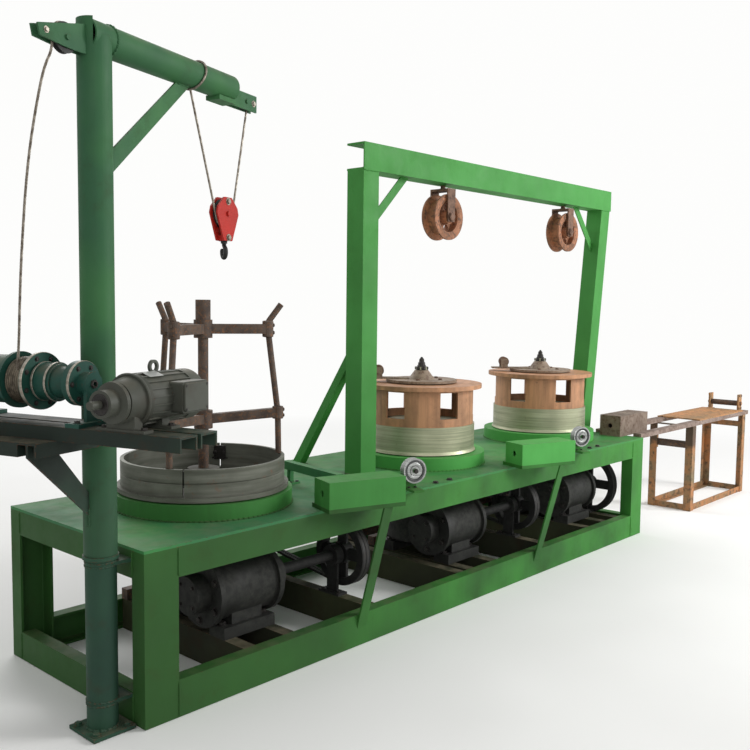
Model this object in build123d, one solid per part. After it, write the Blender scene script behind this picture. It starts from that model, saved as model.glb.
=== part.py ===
from build123d import *
import math
import os

# A wire drawing machine: a welded base carries a take-up drum and two drawing blocks, worm
# gearboxes and motors stand inside it, a gantry holds two overhead sheaves, a slewing crane
# with its own winch stands at one end and a feed stand at the other.
# Millimetres. The origin is on the floor under the middle of the base. X runs along the
# machine towards the feed stand, Y to the back, Z up.

# Fits that hold everywhere
SEAT_GAP = 0.3          # between a turning piece and what it rests on
RUNNING_FIT = 0.05      # radial play of a shaft in its bore
AIR_GAP = 5             # clear air beside a moving piece
OVERCUT = 1              # how far a cutter runs past the piece it cuts
TOUCH = 0.01             # how near counts as the same place
NEARLY_NOTHING = 0.001   # the inner radius of a wheel without a bore

# Welded base
BASE_LENGTH = 3459
BASE_WIDTH = 893
BASE_HEIGHT = 580
DECK_THICK = 10
LONG_BOTTOM_RAIL = 126  # height of the long bottom channels
LONG_TOP_RAIL = 100
END_BOTTOM_RAIL = 106
END_TOP_RAIL = 90
POST_WIDTH = 130
POST_FLANGE = 69
RAIL_FLANGE = 53
CHANNEL_WEB = 6
CHANNEL_LIP = 9
CHANNEL_FILLET = 5

# Blocks, from the left end and the front of the base
TAKE_UP_FROM_LEFT = 565
BLOCK_2_FROM_LEFT = 1902
BLOCK_3_FROM_LEFT = 3004
BLOCKS_FROM_FRONT = 446.5
DECK_HOLE_RADIUS = 60

# Collars on the deck
COLLAR_HEIGHT = 60
COLLAR_WALL = 12
COLLAR_LID = 8
TAKE_UP_COLLAR_RADIUS = 345
BLOCK_COLLAR_RADIUS = 319
COLLAR_EYE_RADIUS = 190

# Take-up drum
DRUM_RADIUS = 315
DRUM_WALL = 14
DRUM_HEIGHT = 118
DRUM_LIP_RADIUS = 330
DRUM_LIP_HEIGHT = 17
DRUM_STEP = 52          # groove below the rim
DRUM_STEP_DEPTH = 3
DRUM_FLOOR = 12
DRUM_HUB_RADIUS = 62
DRUM_HUB_HEIGHT = 70
DRUM_SLIT = 6
DRUM_SLIT_ANGLES = (-140, 40)
DRUM_FLOOR_HOLES = 6
DRUM_FLOOR_HOLE_RADIUS = 48

# Wire basket on the take-up drum
BASKET_RODS = 3
BASKET_FIRST_ROD = -31  # degrees from the X direction
BASKET_ROD_RADIUS = 12
BASKET_BEND_RADIUS = 40
BASKET_ARM_BITE = 4      # how far an arm runs into the rod at its end
BASKET_WAIST_RADIUS = 250
BASKET_FOOT_RADIUS = 296
BASKET_TIP_REACH = 55
BASKET_BEND_RISE = 22   # above the upper arms
BASKET_SHOULDER_RADIUS = 293
BASKET_TOP_RISE = 97
BASKET_POST_RADIUS = 20
BASKET_SLEEVE_RADIUS = 29
BASKET_SLEEVE_LENGTH = 85
BASKET_POST_RISE = 112
BASKET_UPPER_ARM_HEIGHT = 1257
BASKET_UPPER_ARM_SIZE = 38
BASKET_LOWER_HUB_HEIGHT = 905
BASKET_LOWER_ARM_RISE = 20
BASKET_LOWER_ARM_SIZE = 36
BASKET_HUB_RADIUS = 36
BASKET_HUB_LENGTH = 70

# Drawing blocks 2 and 3
BLOCK_RADIUS = 267
BLOCK_ROOT_RADIUS = 274
BLOCK_HEIGHT = 132
BLOCK_ROOT_HEIGHT = 14
BLOCK_WALL = 18
BLOCK_WEB = 20
BLOCK_HUB_RADIUS = 68
SPOOL_RADIUS = 260
SPOOL_WALL = 12
SPOOL_HEIGHT = 195
SPOOL_FLANGE_RADIUS = 300
SPOOL_FLANGE_THICK = 20
SPOOL_WINDOWS = 6
SPOOL_WINDOW_ANGLE = 22
SPOOL_WINDOW_HEIGHT = 126
SPOOL_TURNS = (11, 3.5)  # how far each spool happens to be turned
SPOOL_WINDOW_SILL = 38
SPINDLE_RADIUS = 35
SPINDLE_NECK_RADIUS = 20
SPINDLE_TOP_ABOVE_FLANGE = 126
SPINDLE_POINT = 48
SPINDLE_NUT_RADIUS = 30
SPINDLE_NUT_HEIGHT = 14
SPINDLE_TIP_RADIUS = 2

# Flyers on the spindles
FLYER_RADIUS = 176
FLYER_THICK = 12
FLYER_HUB_RADIUS = 66
FLYER_HUB_TOP_RADIUS = 34
FLYER_HUB_HEIGHT = 44
FLYER_ARM_WIDTH = 60
FLYER_ARM_REACH = 285
FLYER_ARM_ANGLE = 132.3
FLYER_ROLLER_RADIUS = 27
FLYER_ROLLER_LENGTH = 60
FLYER_ROLLER_PLACE = 215
FLYER_PIN_RADIUS = 8
FLYER_EAR_THICK = 8
FLYER_EAR_LENGTH = 40
FLYER_EAR_TOP = 18       # above the roller's axis
FLYER_ARM_THICK = 8
FLYER_ROLLER_PLAY = 1    # beside the roller, inside each ear
FLYER_ROLLER_RIM = 8
FLYER_ROLLER_WAIST = 7 / 10   # of the roller's radius

# Worm gearboxes under the deck
GEAR_CASE_RADIUS = 165
GEAR_CASE_BOTTOM = 195
GEAR_CASE_HEIGHT = 190
GEAR_NECK_RADIUS = 95
GEAR_NECK_FLANGE_RADIUS = 130
GEAR_NECK_FLANGE_THICK = 18
WORM_CENTRE_DISTANCE = 176
WORM_SHAFT_HEIGHT = 290
WORM_BARREL_RADIUS = 118
WORM_BARREL_LENGTH = 260
WORM_FLANGE_RADIUS = 132
WORM_FLANGE_THICK = 22
WORM_CAP_RADIUS = 72
WORM_CAP_LENGTH = 60
GEAR_FOOT_LENGTH = 244
GEAR_FOOT_HEIGHT = 44
GEAR_FOOT_WIDTH = 90
GEAR_FOOT_INSET = 10     # inside the barrel's front and the case's back
GEAR_LEG_END_INSET = 50
GEAR_LEG_FRONT_INSET = 20
GEAR_LEG_BACK_INSET = 10
GEAR_LEG_REACH = 30      # how far a leg runs up into the case
GEAR_CASE_ROUND = 14
CROSS_FROM_GEARBOX = 95
NECK_BORE_DEPTH = 90

# Belt drives, one behind each gearbox
BELT_WIDTH = 17
BELT_THICK = 11
BELT_COUNT = 2
BELT_PITCH = 20
PULLEY_RIM = 22
PULLEY_HUB_RADIUS = 46
PULLEY_BORE_RADIUS = 22
PULLEY_SPOKES = 4
PULLEY_SPOKE_WIDTH = 52
PULLEY_SPOKE_THICK = 14
PULLEY_SPOKE_BITE = 4    # how far a spoke runs into hub and rim
PULLEY_SIDE = 5          # rim beside the outer belts
MOTOR_PULLEY_RADIUS = 70
MOTOR_PULLEY_BORE = 17
MOTOR_SHAFT_SOCKET = 40
BELT_PLAY = 0.3
BELT_TAPER = 1.5        # each side of a belt and of its groove
PULLEY_RADII = (140, 140, 175)
PULLEY_OFFSETS = (605, 605, 305)
STAND_BEFORE_PULLEY = 60
STAND_WIDTH = 60
STAND_THICK = 12
STAND_EYE_RADIUS = 45
STAND_EYE_LENGTH = 40
STAND_FOOT_THICK = 10

# Drive motors, at the back inside the base
MOTOR_FROM_FRONT = 745
MOTOR_RADIUS = 105
MOTOR_LENGTH = 250
MOTOR_COWL_LENGTH = 60
MOTOR_BELL_LENGTH = 30
MOTOR_TO_PULLEY = 26
MOTOR_SHAFT_HEIGHT = 290
MOTOR_FINS = 20
MOTOR_FIN_HEIGHT = 8
MOTOR_FIN_THICK = 4
MOTOR_FIN_ROOT = 6       # how deep a fin runs into the body
MOTOR_BELL_STEP = 4      # the bell under the cowl's radius
MOTOR_FOOT_LENGTH = 40
MOTOR_FOOT_FROM_BACK = 40
MOTOR_FOOT_FROM_BELL = 60
MOTOR_PEDESTAL_WIDTH = 120
MOTOR_FOOT_WIDTH = 200
MOTOR_FOOT_HEIGHT = 14
MOTOR_RAIL_HEIGHT = 44
MOTOR_RAIL_WIDTH = 40

# Die boxes on the front edge
DIE_BOX_LENGTH = 330
DIE_BOX_DEPTH = 130
DIE_BOX_HEIGHT = 101
DIE_BOX_WALL = 8
DIE_BOX_TURN = -18.5
DIE_BOX_FROM_LEFT = 757
DIE_BOX_FROM_FRONT = -60
DIE_BOX_PITCH = 1295
DIE_PLATE_THICK = 16
DIE_PLATE_DEPTH = 150
DIE_BORE_RADIUS = 14
STRUT_WIDTH = 50
STRUT_THICK = 8
STRUT_FOOT_HEIGHT = 100
STRUT_FOOT_LENGTH = 30
STRUT_FROM_BOX = 296
STRUT_REACH = 130

# Entry die box over the right end
ENTRY_BOX_LENGTH = 360
ENTRY_BOX_DEPTH = 134
ENTRY_BOX_HEIGHT = 124
ENTRY_BOX_FROM_LEFT = 3372
ENTRY_BOX_FROM_FRONT = 107

# Guide bar and guide pulleys
GUIDE_BAR_SIZE = 34
GUIDE_BAR_START = (985, 110)
GUIDE_BAR_END = (1045, 500)
GUIDE_FOOT_SIZE = (60, 60)
GUIDE_FOOT_THICK = 8
GUIDE_LEG_SIZE = 20
GUIDE_BAR_DROP = 20      # below the tops of the die boxes
GUIDE_PULLEY_RADIUS = 53
GUIDE_PULLEY_WIDTH = 34
GUIDE_PULLEY_HEIGHT = 85
GUIDE_PULLEY_TURN = -22
GUIDE_PULLEYS_FROM_LEFT = (1312, 2705)
GUIDE_PIN_RADIUS = 10
GUIDE_PIN_END = 8        # past the pulley
GUIDE_HUB_RADIUS = 20
GUIDE_FACE_DEPTH = 4     # the face between hub and rim, and the rim's land
GUIDE_FACE_RADIUS_GAP = 14
GUIDE_RIM = 12
GUIDE_GROOVE = 10
GUIDE_SIDE_GAP = 1
GUIDE_BRACKET_TOP = 20   # above the pulley's axis
GUIDE_BRACKET_THICK = 10
GUIDE_BRACKET_WIDTH = 50
GUIDE_BRACKET_FOOT = 84

# Gantry and its sheaves
GANTRY_FROM_FRONT = 400
GANTRY_POST = 100
GANTRY_POST_WALL = 6
GANTRY_LEFT_FOOT = 1412
GANTRY_RIGHT_FOOT = 3397
GANTRY_RIGHT_LEAN = 165
GANTRY_BEAM_BOTTOM = 1950
GANTRY_BEAM_HEIGHT = 120
GANTRY_BEAM_FLANGE = 53
GANTRY_BEAM_LEFT = 1362
GANTRY_BEAM_RIGHT = 3622
CORNER_BRACE_WIDTH = 40
CORNER_BRACE_THICK = 6
CORNER_BRACE_REACH = 230
STAY_TOP_HEIGHT = 1165
STAY_FOOT_FROM_FRONT = 837
STAY_SIZE = 44
STAY_TOP_CUT = 1.5       # the stay's slanting ends, in its own sizes
STAY_FOOT_CUT = 1.2
SHEAVES_FROM_LEFT = (1990, 3135)
SHEAVE_RADIUS = 112
SHEAVE_WIDTH = 84
SHEAVE_CENTRE_HEIGHT = 1790
SHEAVE_RIM = 10
SHEAVE_GROOVE = 26
SHEAVE_HUB_RADIUS = 34
SHEAVE_PIN_RADIUS = 14
SHEAVE_HOLES = 5
SHEAVE_HOLE_RADIUS = 18
SHEAVE_HOLE_EDGE = 2     # least metal beside a hole
SHEAVE_SKIN = 12         # between the groove's floor and the web
SHEAVE_WEB_HALF = 8
SHEAVE_RIM_CHAMFER = 4
SHEAVE_GROOVE_SLOPE = 8
SHEAVE_PIN_END = 10      # past each cheek
CHEEK_THICK = 8
CHEEK_BELOW_PIN = 24
CHEEK_FOOT_WIDTH = 52
CHEEK_TOP_WIDTH = 30
CHEEK_SIDE_GAP = 6
YOKE_THICK = 12
YOKE_HEIGHT = 1915
YOKE_STUD_RADIUS = 12

# Slewing crane, from the left end and the front of the base
CRANE_FROM_LEFT = -83
CRANE_FROM_FRONT = 113
CRANE_TURN = 17
CRANE_POST_RADIUS = 49
CRANE_POST_TOP = 556
CRANE_POST_WALL = 9
CRANE_FOOT_SIZE = 150
CRANE_FOOT_THICK = 12
CRANE_CAP_RADIUS = 56
CRANE_CAP_THICK = 12
CRANE_PIVOT_RADIUS = 36
CRANE_PIVOT_LENGTH = 190
MAST_RADIUS = 52
MAST_WALL = 6
CRANE_BRACKET_HEIGHTS = (90, 535)
CRANE_BRACKET_THICK = 12
CRANE_BRACKET_WIDTH = 90
ARM_RADIUS = 48
ARM_WALL = 5
ARM_HEIGHT = 2150
ARM_LENGTH = 700
ARM_START = -40
ARM_CAP_THICK = 6
ARM_CAP_EYE = 20
ARM_BRACE_DROP = 414    # from the arm's axis down to the brace's lowest corner
ARM_BRACE_REACH = 428
ARM_BRACE_WIDTH = 72
ARM_BRACE_THICK = 8
HOIST_PULLEY_WIDTH = 18
HOIST_PULLEY_GROOVE = 7
HOIST_PIN_RADIUS = 8
HOIST_CHEEK_THICK = 6
HOIST_SIDE_GAP = 1       # between a rope pulley and its cheeks
HOIST_RIM_SHARE = 1 / 3  # a rope pulley's rim, of what the rope leaves on each side
TIP_PULLEY_RADIUS = 30
TIP_PULLEY_REACH = 800
TIP_PULLEY_DROP = 28    # below the arm's axis
TIP_CHEEK_END = 868
TIP_CHEEK_HEIGHT = 62
TIP_SPACER_REACH = 846
TIP_SPACER_RADIUS = 12
TIP_PLATE_START = 603
TIP_PLATE_WIDTH = 60
TIP_PLATE_THICK = 12
REAR_PULLEY_RADIUS = 44
REAR_PULLEY_REACH = -125
REAR_PULLEY_DROP = 35
REAR_CHEEK_END = 236
REAR_CHEEK_TOP = 35     # above the arm's axis at the mast
REAR_CHEEK_FALL = 58    # how much lower its top is at the far end
REAR_CHEEK_FOOT = 64    # below the arm's axis
REAR_CHEEK_TIP = 32     # its height at the far end
ROPE_RADIUS = 4
ROPE_HOLE_RADIUS = 9
ROPE_KNOT_REACH = 471
ROPE_KNOT_LEAN = 20
ROPE_BEND_SHARE = 9 / 20   # how much of a run its bend may take

# The slack rope behind the mast: out and left in the crane's own directions, and the part of the
# way down from the rear pulley to the winch
ROPE_SAG = ((-190, 10, 0.055), (-200, 32, 0.168), (-204, 56, 0.291), (-203, 76, 0.410), (-202, 90, 0.527),
            (-202.5, 101, 0.646), (-201.5, 110, 0.763), (-200.5, 117, 0.881))

# Hook block
HOOK_REACH = 672
BLOCK_SHEAVE_DROP = 462  # from the arm's axis down to the sheave's
BLOCK_SHEAVE_RADIUS = 54
BLOCK_SHEAVE_WIDTH = 22
BLOCK_PIN_RADIUS = 10
BLOCK_PLATE_THICK = 7
BLOCK_SIDE_GAP = 1
BLOCK_PLATE_RADIUS = 68
BLOCK_PLATE_TOP = 60
BLOCK_PLATE_CROWN = 24
BLOCK_PLATE_FOOT = 27
BLOCK_NOSE_DROP = 100
BLOCK_NOSE_THICK = 20
HOOK_SHANK_RADIUS = 8
HOOK_SHANK_LENGTH = 14
HOOK_NUT_RADIUS = 10.5
HOOK_NUT_HEIGHT = 12
HOOK_BAR_RADIUS = 8
HOOK_BEND_RADIUS = 20
HOOK_TURN = 55
HOOK_ARC_START_ANGLE = 120
HOOK_ARC_SWEEP_ANGLE = 260

# Winch platform on the mast, in the crane's own directions: out along the arm and to its left
PLATFORM_HEIGHT = 1000
PLATFORM_RAIL_WIDTH = 76
PLATFORM_RAIL_HEIGHT = 42
PLATFORM_RAIL_THICK = 6
PLATFORM_FRONT = -480
PLATFORM_BACK = 450
PLATFORM_DEPTH = 168
BEARER_REACH = 290
BEARER_ACROSS = 42
BEARER_TAIL = 330
PROP_LOW = 700
PROP_WIDTH = 45
PROP_FOOT_RISE = 12
PROP_TOP_WIDTH = 82
PROP_THICK = 8
HOIST_MOTOR_RADIUS = 76
HOIST_MOTOR_ACROSS = -270
HOIST_MOTOR_COWL_END = 88
HOIST_MOTOR_COWL = 58
HOIST_MOTOR_BODY = 200
HOIST_MOTOR_BELL = 70
HOIST_MOTOR_BOSS_RADIUS = 39
HOIST_MOTOR_BOSS = 50
HOIST_MOTOR_SHAFT_RADIUS = 12
HOIST_MOTOR_SHAFT = 40
HOIST_MOTOR_FOOT = 8
HOIST_MOTOR_FEET_ACROSS = 170
HOIST_MOTOR_COWL_ROUND = 14
HOIST_MOTOR_SKIN = 4     # the body under the cowl's radius
HOIST_MOTOR_BELL_LAP = 12
HOIST_MOTOR_BELL_STEP = 18
HOIST_MOTOR_BOSS_LAP = 20
HOIST_FIN_THICK = 4
HOIST_FIN_ROOT = 12
HOIST_FOOT_LENGTH = 40
HOIST_FOOT_FROM_EDGE = 25
HOIST_LEG_LENGTH = 32
HOIST_LEG_ACROSS = 100
HOIST_BOX_ROUND = 8
HOIST_BOX_LAP = 20       # over the cowl
HOIST_BOX_SINK = 2       # into the body
HOIST_BOX_RISE = 4       # above the axis
HOIST_MOTOR_BOX = (120, 60, 90)
HOIST_EYE_RADIUS = 20
HOIST_EYE_BORE = 12
HOIST_EYE_THICK = 9
HOIST_EYE_RISE = 14
WINCH_AXIS_HEIGHT = 120
WINCH_DRUM_RADIUS = 50
WINCH_FLANGE_RADIUS = 86
WINCH_FLANGE_THICK = 12
WINCH_DRUM_START = 89
WINCH_DRUM_WIDTH = 100
WINCH_TAIL_RADIUS = 74
WINCH_TAIL_LENGTH = 224
WINCH_CASE_RADIUS = 54
WINCH_CASE_LENGTH = 74
WINCH_RING_RADIUS = 58
WINCH_RING_WIDTH = 8
WINCH_RING_INSETS = (6, 10)
WINCH_NECK_LENGTH = 60
WINCH_NECK_RADIUS = 34
WINCH_NECK_STEP = 6
WINCH_DISC_RADIUS = 66
WINCH_DISC_THICK = 28
WINCH_HUB_RADIUS = 34
WINCH_HUB_LENGTH = 22
WINCH_SHAFT_BORE = 8
WINCH_BRACKET_THICK = 12
WINCH_BRACKET_WIDTH = 60
WINCH_EYE_RIM = 6
WINCH_CRADLE_RIM = 14
WINCH_CRADLE_FROM_END = 20
WINCH_CRADLE_THICK = 40
WINCH_FOOT_SIDE = 20     # the foot plate past each side of what it carries

# Feed stand, from the left end and the front of the base
STAND_LEFT = 4225
STAND_RIGHT = 5165
STAND_FRONT = 15
STAND_BACK = 315
STAND_HEIGHT = 572
STAND_LEG = 50
STAND_ANGLE_THICK = 6
STAND_TIE = 40
STAND_RAIL_HEIGHT = 28
STAND_RAIL_WIDTH = 50
STAND_RAIL_END = 5215
STAND_PLATE_START = 4330
STAND_PLATE_THICK = 8
STAND_PLATE_END_GAP = 10
STAND_MID_TIE_HEIGHT = 480
FEED_ROLLER_RADIUS = 20
FEED_ROLLER_HEIGHT = 652
FEED_CHEEK_WIDTH = 60
FEED_CHEEK_THICK = 12
FEED_CHEEK_HEIGHT = 118
FEED_CHEEKS_FROM_LEFT = 5150
FEED_PIN_RADIUS = 9
FEED_PIN_END = 12        # past each cheek
LOW_ROLLER_RADIUS = 24
LOW_ROLLER_HEIGHT = 440
LOW_PIN_RADIUS = 11
LOW_BLOCK_SIZE = (58, 26, 84)

# Places worked out from the values above
LEFT_END = -BASE_LENGTH / 2
RIGHT_END = BASE_LENGTH / 2
FRONT = -BASE_WIDTH / 2
BACK = BASE_WIDTH / 2
DECK_BOTTOM = BASE_HEIGHT - DECK_THICK
BLOCK_Y = FRONT + BLOCKS_FROM_FRONT
BLOCK_XS = tuple(LEFT_END + d for d in (TAKE_UP_FROM_LEFT, BLOCK_2_FROM_LEFT, BLOCK_3_FROM_LEFT))
COLLAR_TOP = BASE_HEIGHT + COLLAR_HEIGHT
DRUM_BOTTOM = COLLAR_TOP + AIR_GAP
DRUM_RIM = DRUM_BOTTOM + DRUM_HEIGHT
BLOCK_TOP = DRUM_BOTTOM + BLOCK_HEIGHT
SPOOL_TOP = BLOCK_TOP + SPOOL_HEIGHT
WORM_Y = BLOCK_Y - WORM_CENTRE_DISTANCE
CRANE_X = LEFT_END + CRANE_FROM_LEFT
CRANE_Y = FRONT + CRANE_FROM_FRONT
MOTOR_Y = FRONT + MOTOR_FROM_FRONT
GANTRY_Y = FRONT + GANTRY_FROM_FRONT
BASKET_SHOULDER_HEIGHT = BASKET_LOWER_HUB_HEIGHT + BASKET_LOWER_ARM_RISE
BASKET_BEND_HEIGHT = BASKET_UPPER_ARM_HEIGHT + BASKET_BEND_RISE
BASKET_TOP_HEIGHT = BASKET_UPPER_ARM_HEIGHT + BASKET_TOP_RISE
BASKET_POST_TOP = BASKET_UPPER_ARM_HEIGHT + BASKET_POST_RISE
MAST_TOP = ARM_HEIGHT + ARM_RADIUS
TIP_PULLEY_HEIGHT = ARM_HEIGHT - TIP_PULLEY_DROP
REAR_PULLEY_HEIGHT = ARM_HEIGHT - REAR_PULLEY_DROP
BLOCK_SHEAVE_HEIGHT = ARM_HEIGHT - BLOCK_SHEAVE_DROP
BLOCK_NOSE_HEIGHT = BLOCK_SHEAVE_HEIGHT - BLOCK_NOSE_DROP


def span_box(x0, x1, y0, y1, z0, z1):
    """A box between two corners."""
    centre = Pos((x0 + x1) / 2, (y0 + y1) / 2, (z0 + z1) / 2)
    return centre * Box(abs(x1 - x0), abs(y1 - y0), abs(z1 - z0))


def rod_x(x0, x1, y, z, radius):
    """A round bar along X."""
    return Pos((x0 + x1) / 2, y, z) * Rot(0, 90, 0) * Cylinder(radius, abs(x1 - x0))


def rod_y(x, y0, y1, z, radius):
    """A round bar along Y."""
    return Pos(x, (y0 + y1) / 2, z) * Rot(90, 0, 0) * Cylinder(radius, abs(y1 - y0))


def rod_z(x, y, z0, z1, radius):
    """A round bar along Z."""
    return Pos(x, y, (z0 + z1) / 2) * Cylinder(radius, abs(z1 - z0))


def tube_z(x, y, z0, z1, radius, bore):
    """A round tube along Z."""
    return rod_z(x, y, z0, z1, radius) - rod_z(x, y, z0, z1, bore)


def turned(points):
    """A turned piece about Z, from its half outline in radius and height."""
    outline = make_face(Plane.XZ * Polyline(*points, close=True))
    return revolve(outline, Axis.Z)


def section_plane(start, end, opening):
    """The plane at the start of a bar, with its local X towards opening."""
    run = Vector(*end) - Vector(*start)
    return Plane(origin=start, x_dir=opening, z_dir=run.normalized()), run.length


def channel(start, end, opening, height, flange):
    """A rolled channel whose web's outer face runs from start to end."""
    half = height / 2
    points = [(0, -half), (flange, -half), (flange, CHANNEL_LIP - half), (CHANNEL_WEB, CHANNEL_LIP - half),
              (CHANNEL_WEB, half - CHANNEL_LIP), (flange, half - CHANNEL_LIP), (flange, half), (0, half)]
    face = make_face(Polyline(*points, close=True))
    roots = [v for v in face.vertices() if abs(v.X - CHANNEL_WEB) < TOUCH]
    face = fillet(roots, CHANNEL_FILLET)
    plane, length = section_plane(start, end, opening)
    return extrude(plane * face, amount=length)


def flat_bar(start, end, width_direction, width, thick):
    """A flat bar centred on the line from start to end."""
    plane, length = section_plane(start, end, width_direction)
    return extrude(plane * Rectangle(width, thick), amount=length)


def one(*pieces):
    """Several solids as one shape."""
    total = pieces[0]
    for piece in pieces[1:]:
        total = total + piece
    return total


# Welded base

def long_rails(z0, height):
    """The front and back channels at one level, webs outward."""
    x0 = LEFT_END + POST_WIDTH
    x1 = RIGHT_END - POST_WIDTH
    z = z0 + height / 2
    front = channel((x0, FRONT, z), (x1, FRONT, z), (0, 1, 0), height, RAIL_FLANGE)
    back = channel((x0, BACK, z), (x1, BACK, z), (0, -1, 0), height, RAIL_FLANGE)
    return front + back


def end_rails(z0, height):
    """The left and right channels at one level, webs outward."""
    y0 = FRONT + POST_FLANGE
    y1 = BACK - POST_FLANGE
    z = z0 + height / 2
    left = channel((LEFT_END, y0, z), (LEFT_END, y1, z), (1, 0, 0), height, RAIL_FLANGE)
    right = channel((RIGHT_END, y0, z), (RIGHT_END, y1, z), (-1, 0, 0), height, RAIL_FLANGE)
    return left + right


def corner_posts():
    """Four upright channels with their webs to the front and the back."""
    posts = []
    for x in (LEFT_END + POST_WIDTH / 2, RIGHT_END - POST_WIDTH / 2):
        for y, inward in ((FRONT, 1), (BACK, -1)):
            top = (x, y, DECK_BOTTOM)
            posts.append(channel((x, y, 0), top, (0, inward, 0), POST_WIDTH, POST_FLANGE))
    return one(*posts)


def pulley_x(index):
    """Where the belt pulley of one drive stands."""
    return BLOCK_XS[index] + PULLEY_OFFSETS[index]


def stand_x(index):
    """Where the outboard bearing of one drive stands."""
    return pulley_x(index) - STAND_BEFORE_PULLEY


def cross_places():
    """The middle of each cross member: the base's own middle, the gearbox feet and the bearing stands."""
    places = [0]
    for index, x in enumerate(BLOCK_XS):
        places += [x - CROSS_FROM_GEARBOX, x + CROSS_FROM_GEARBOX, stand_x(index)]
    return places


def cross_members():
    """Upright channels across the base, between the long bottom rails."""
    y0 = FRONT + RAIL_FLANGE
    y1 = BACK - RAIL_FLANGE
    z = LONG_BOTTOM_RAIL / 2
    members = []
    for x in cross_places():
        web = x - RAIL_FLANGE / 2
        members.append(channel((web, y0, z), (web, y1, z), (1, 0, 0), LONG_BOTTOM_RAIL, RAIL_FLANGE))
    return one(*members)


def deck_plate():
    """The deck, with a hole for each upright shaft."""
    deck = span_box(LEFT_END, RIGHT_END, FRONT, BACK, DECK_BOTTOM, BASE_HEIGHT)
    for x in BLOCK_XS:
        deck -= rod_z(x, BLOCK_Y, DECK_BOTTOM, BASE_HEIGHT, DECK_HOLE_RADIUS)
    return deck


def collar(x, radius):
    """A raised ring with a lid that the block runs over."""
    inner = radius - COLLAR_WALL
    shape = turned([(inner, 0), (radius, 0), (radius, COLLAR_HEIGHT), (COLLAR_EYE_RADIUS, COLLAR_HEIGHT),
                    (COLLAR_EYE_RADIUS, COLLAR_HEIGHT - COLLAR_LID), (inner, COLLAR_HEIGHT - COLLAR_LID)])
    return Pos(x, BLOCK_Y, BASE_HEIGHT) * shape


# Drums, blocks and their upright shafts

def take_up_drum():
    """The drum's wall, with a groove, a lip and two slits."""
    inner = DRUM_RADIUS - DRUM_WALL
    step = DRUM_HEIGHT - DRUM_STEP
    ring = turned([(inner, 0), (DRUM_LIP_RADIUS, 0), (DRUM_LIP_RADIUS, DRUM_LIP_HEIGHT),
                   (DRUM_RADIUS, DRUM_LIP_HEIGHT), (DRUM_RADIUS, step - DRUM_STEP_DEPTH),
                   (DRUM_RADIUS - DRUM_STEP_DEPTH, step), (DRUM_RADIUS, step + DRUM_STEP_DEPTH),
                   (DRUM_RADIUS, DRUM_HEIGHT), (inner, DRUM_HEIGHT)])
    for angle in DRUM_SLIT_ANGLES:
        cut = span_box(inner - OVERCUT, DRUM_RADIUS + OVERCUT, -DRUM_SLIT / 2, DRUM_SLIT / 2, DRUM_LIP_HEIGHT,
                       DRUM_HEIGHT)
        ring -= Rot(0, 0, angle) * cut
    return Pos(BLOCK_XS[0], BLOCK_Y, DRUM_BOTTOM) * ring


def drum_floor():
    """The drum's floor with its holes, and the hub on the shaft."""
    inner = DRUM_RADIUS - DRUM_WALL
    bore = SPINDLE_RADIUS
    disc = turned([(bore, 0), (inner, 0), (inner, DRUM_FLOOR), (DRUM_HUB_RADIUS, DRUM_FLOOR),
                   (DRUM_HUB_RADIUS, DRUM_HUB_HEIGHT), (bore, DRUM_HUB_HEIGHT)])
    hole_circle = (DRUM_HUB_RADIUS + inner) / 2
    for turn in range(DRUM_FLOOR_HOLES):
        hole = Rot(0, 0, turn * 360 / DRUM_FLOOR_HOLES) * Pos(hole_circle, 0, 0)
        disc -= hole * Cylinder(DRUM_FLOOR_HOLE_RADIUS, 2 * DRUM_FLOOR + OVERCUT)
    return Pos(BLOCK_XS[0], BLOCK_Y, DRUM_BOTTOM) * disc


def drawing_block(x):
    """A drawing block: flared root, wall, web and hub."""
    inner = BLOCK_RADIUS - BLOCK_WALL
    shape = turned([(SPINDLE_RADIUS, 0), (BLOCK_HUB_RADIUS, 0), (BLOCK_HUB_RADIUS, BLOCK_HEIGHT - BLOCK_WEB),
                    (inner, BLOCK_HEIGHT - BLOCK_WEB), (inner, 0), (BLOCK_ROOT_RADIUS, 0),
                    (BLOCK_RADIUS, BLOCK_ROOT_HEIGHT), (BLOCK_RADIUS, BLOCK_HEIGHT),
                    (SPINDLE_RADIUS, BLOCK_HEIGHT)])
    return Pos(x, BLOCK_Y, DRUM_BOTTOM) * shape


def spool(x, rest_turn):
    """The collecting spool on a block: a thin wall with windows, a floor and a wide top flange."""
    inner = SPOOL_RADIUS - SPOOL_WALL
    under = SPOOL_HEIGHT - SPOOL_FLANGE_THICK
    shape = turned([(inner, 0), (SPOOL_RADIUS, 0), (SPOOL_RADIUS, under), (SPOOL_FLANGE_RADIUS, under),
                    (SPOOL_FLANGE_RADIUS, SPOOL_HEIGHT), (SPINDLE_RADIUS, SPOOL_HEIGHT),
                    (SPINDLE_RADIUS, under), (inner, under)])
    half_width = SPOOL_RADIUS * math.sin(math.radians(SPOOL_WINDOW_ANGLE / 2))
    top = SPOOL_WINDOW_SILL + SPOOL_WINDOW_HEIGHT
    for turn in range(SPOOL_WINDOWS):
        window = span_box(SPOOL_RADIUS / 2, SPOOL_FLANGE_RADIUS, -half_width, half_width,
                          SPOOL_WINDOW_SILL, top)
        shape -= Rot(0, 0, turn * 360 / SPOOL_WINDOWS) * window
    return Pos(x, BLOCK_Y, BLOCK_TOP) * Rot(0, 0, rest_turn) * shape


def shaft_bottom():
    """Where the upright shafts end, inside the gearbox necks."""
    return DECK_BOTTOM - NECK_BORE_DEPTH + SEAT_GAP


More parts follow.
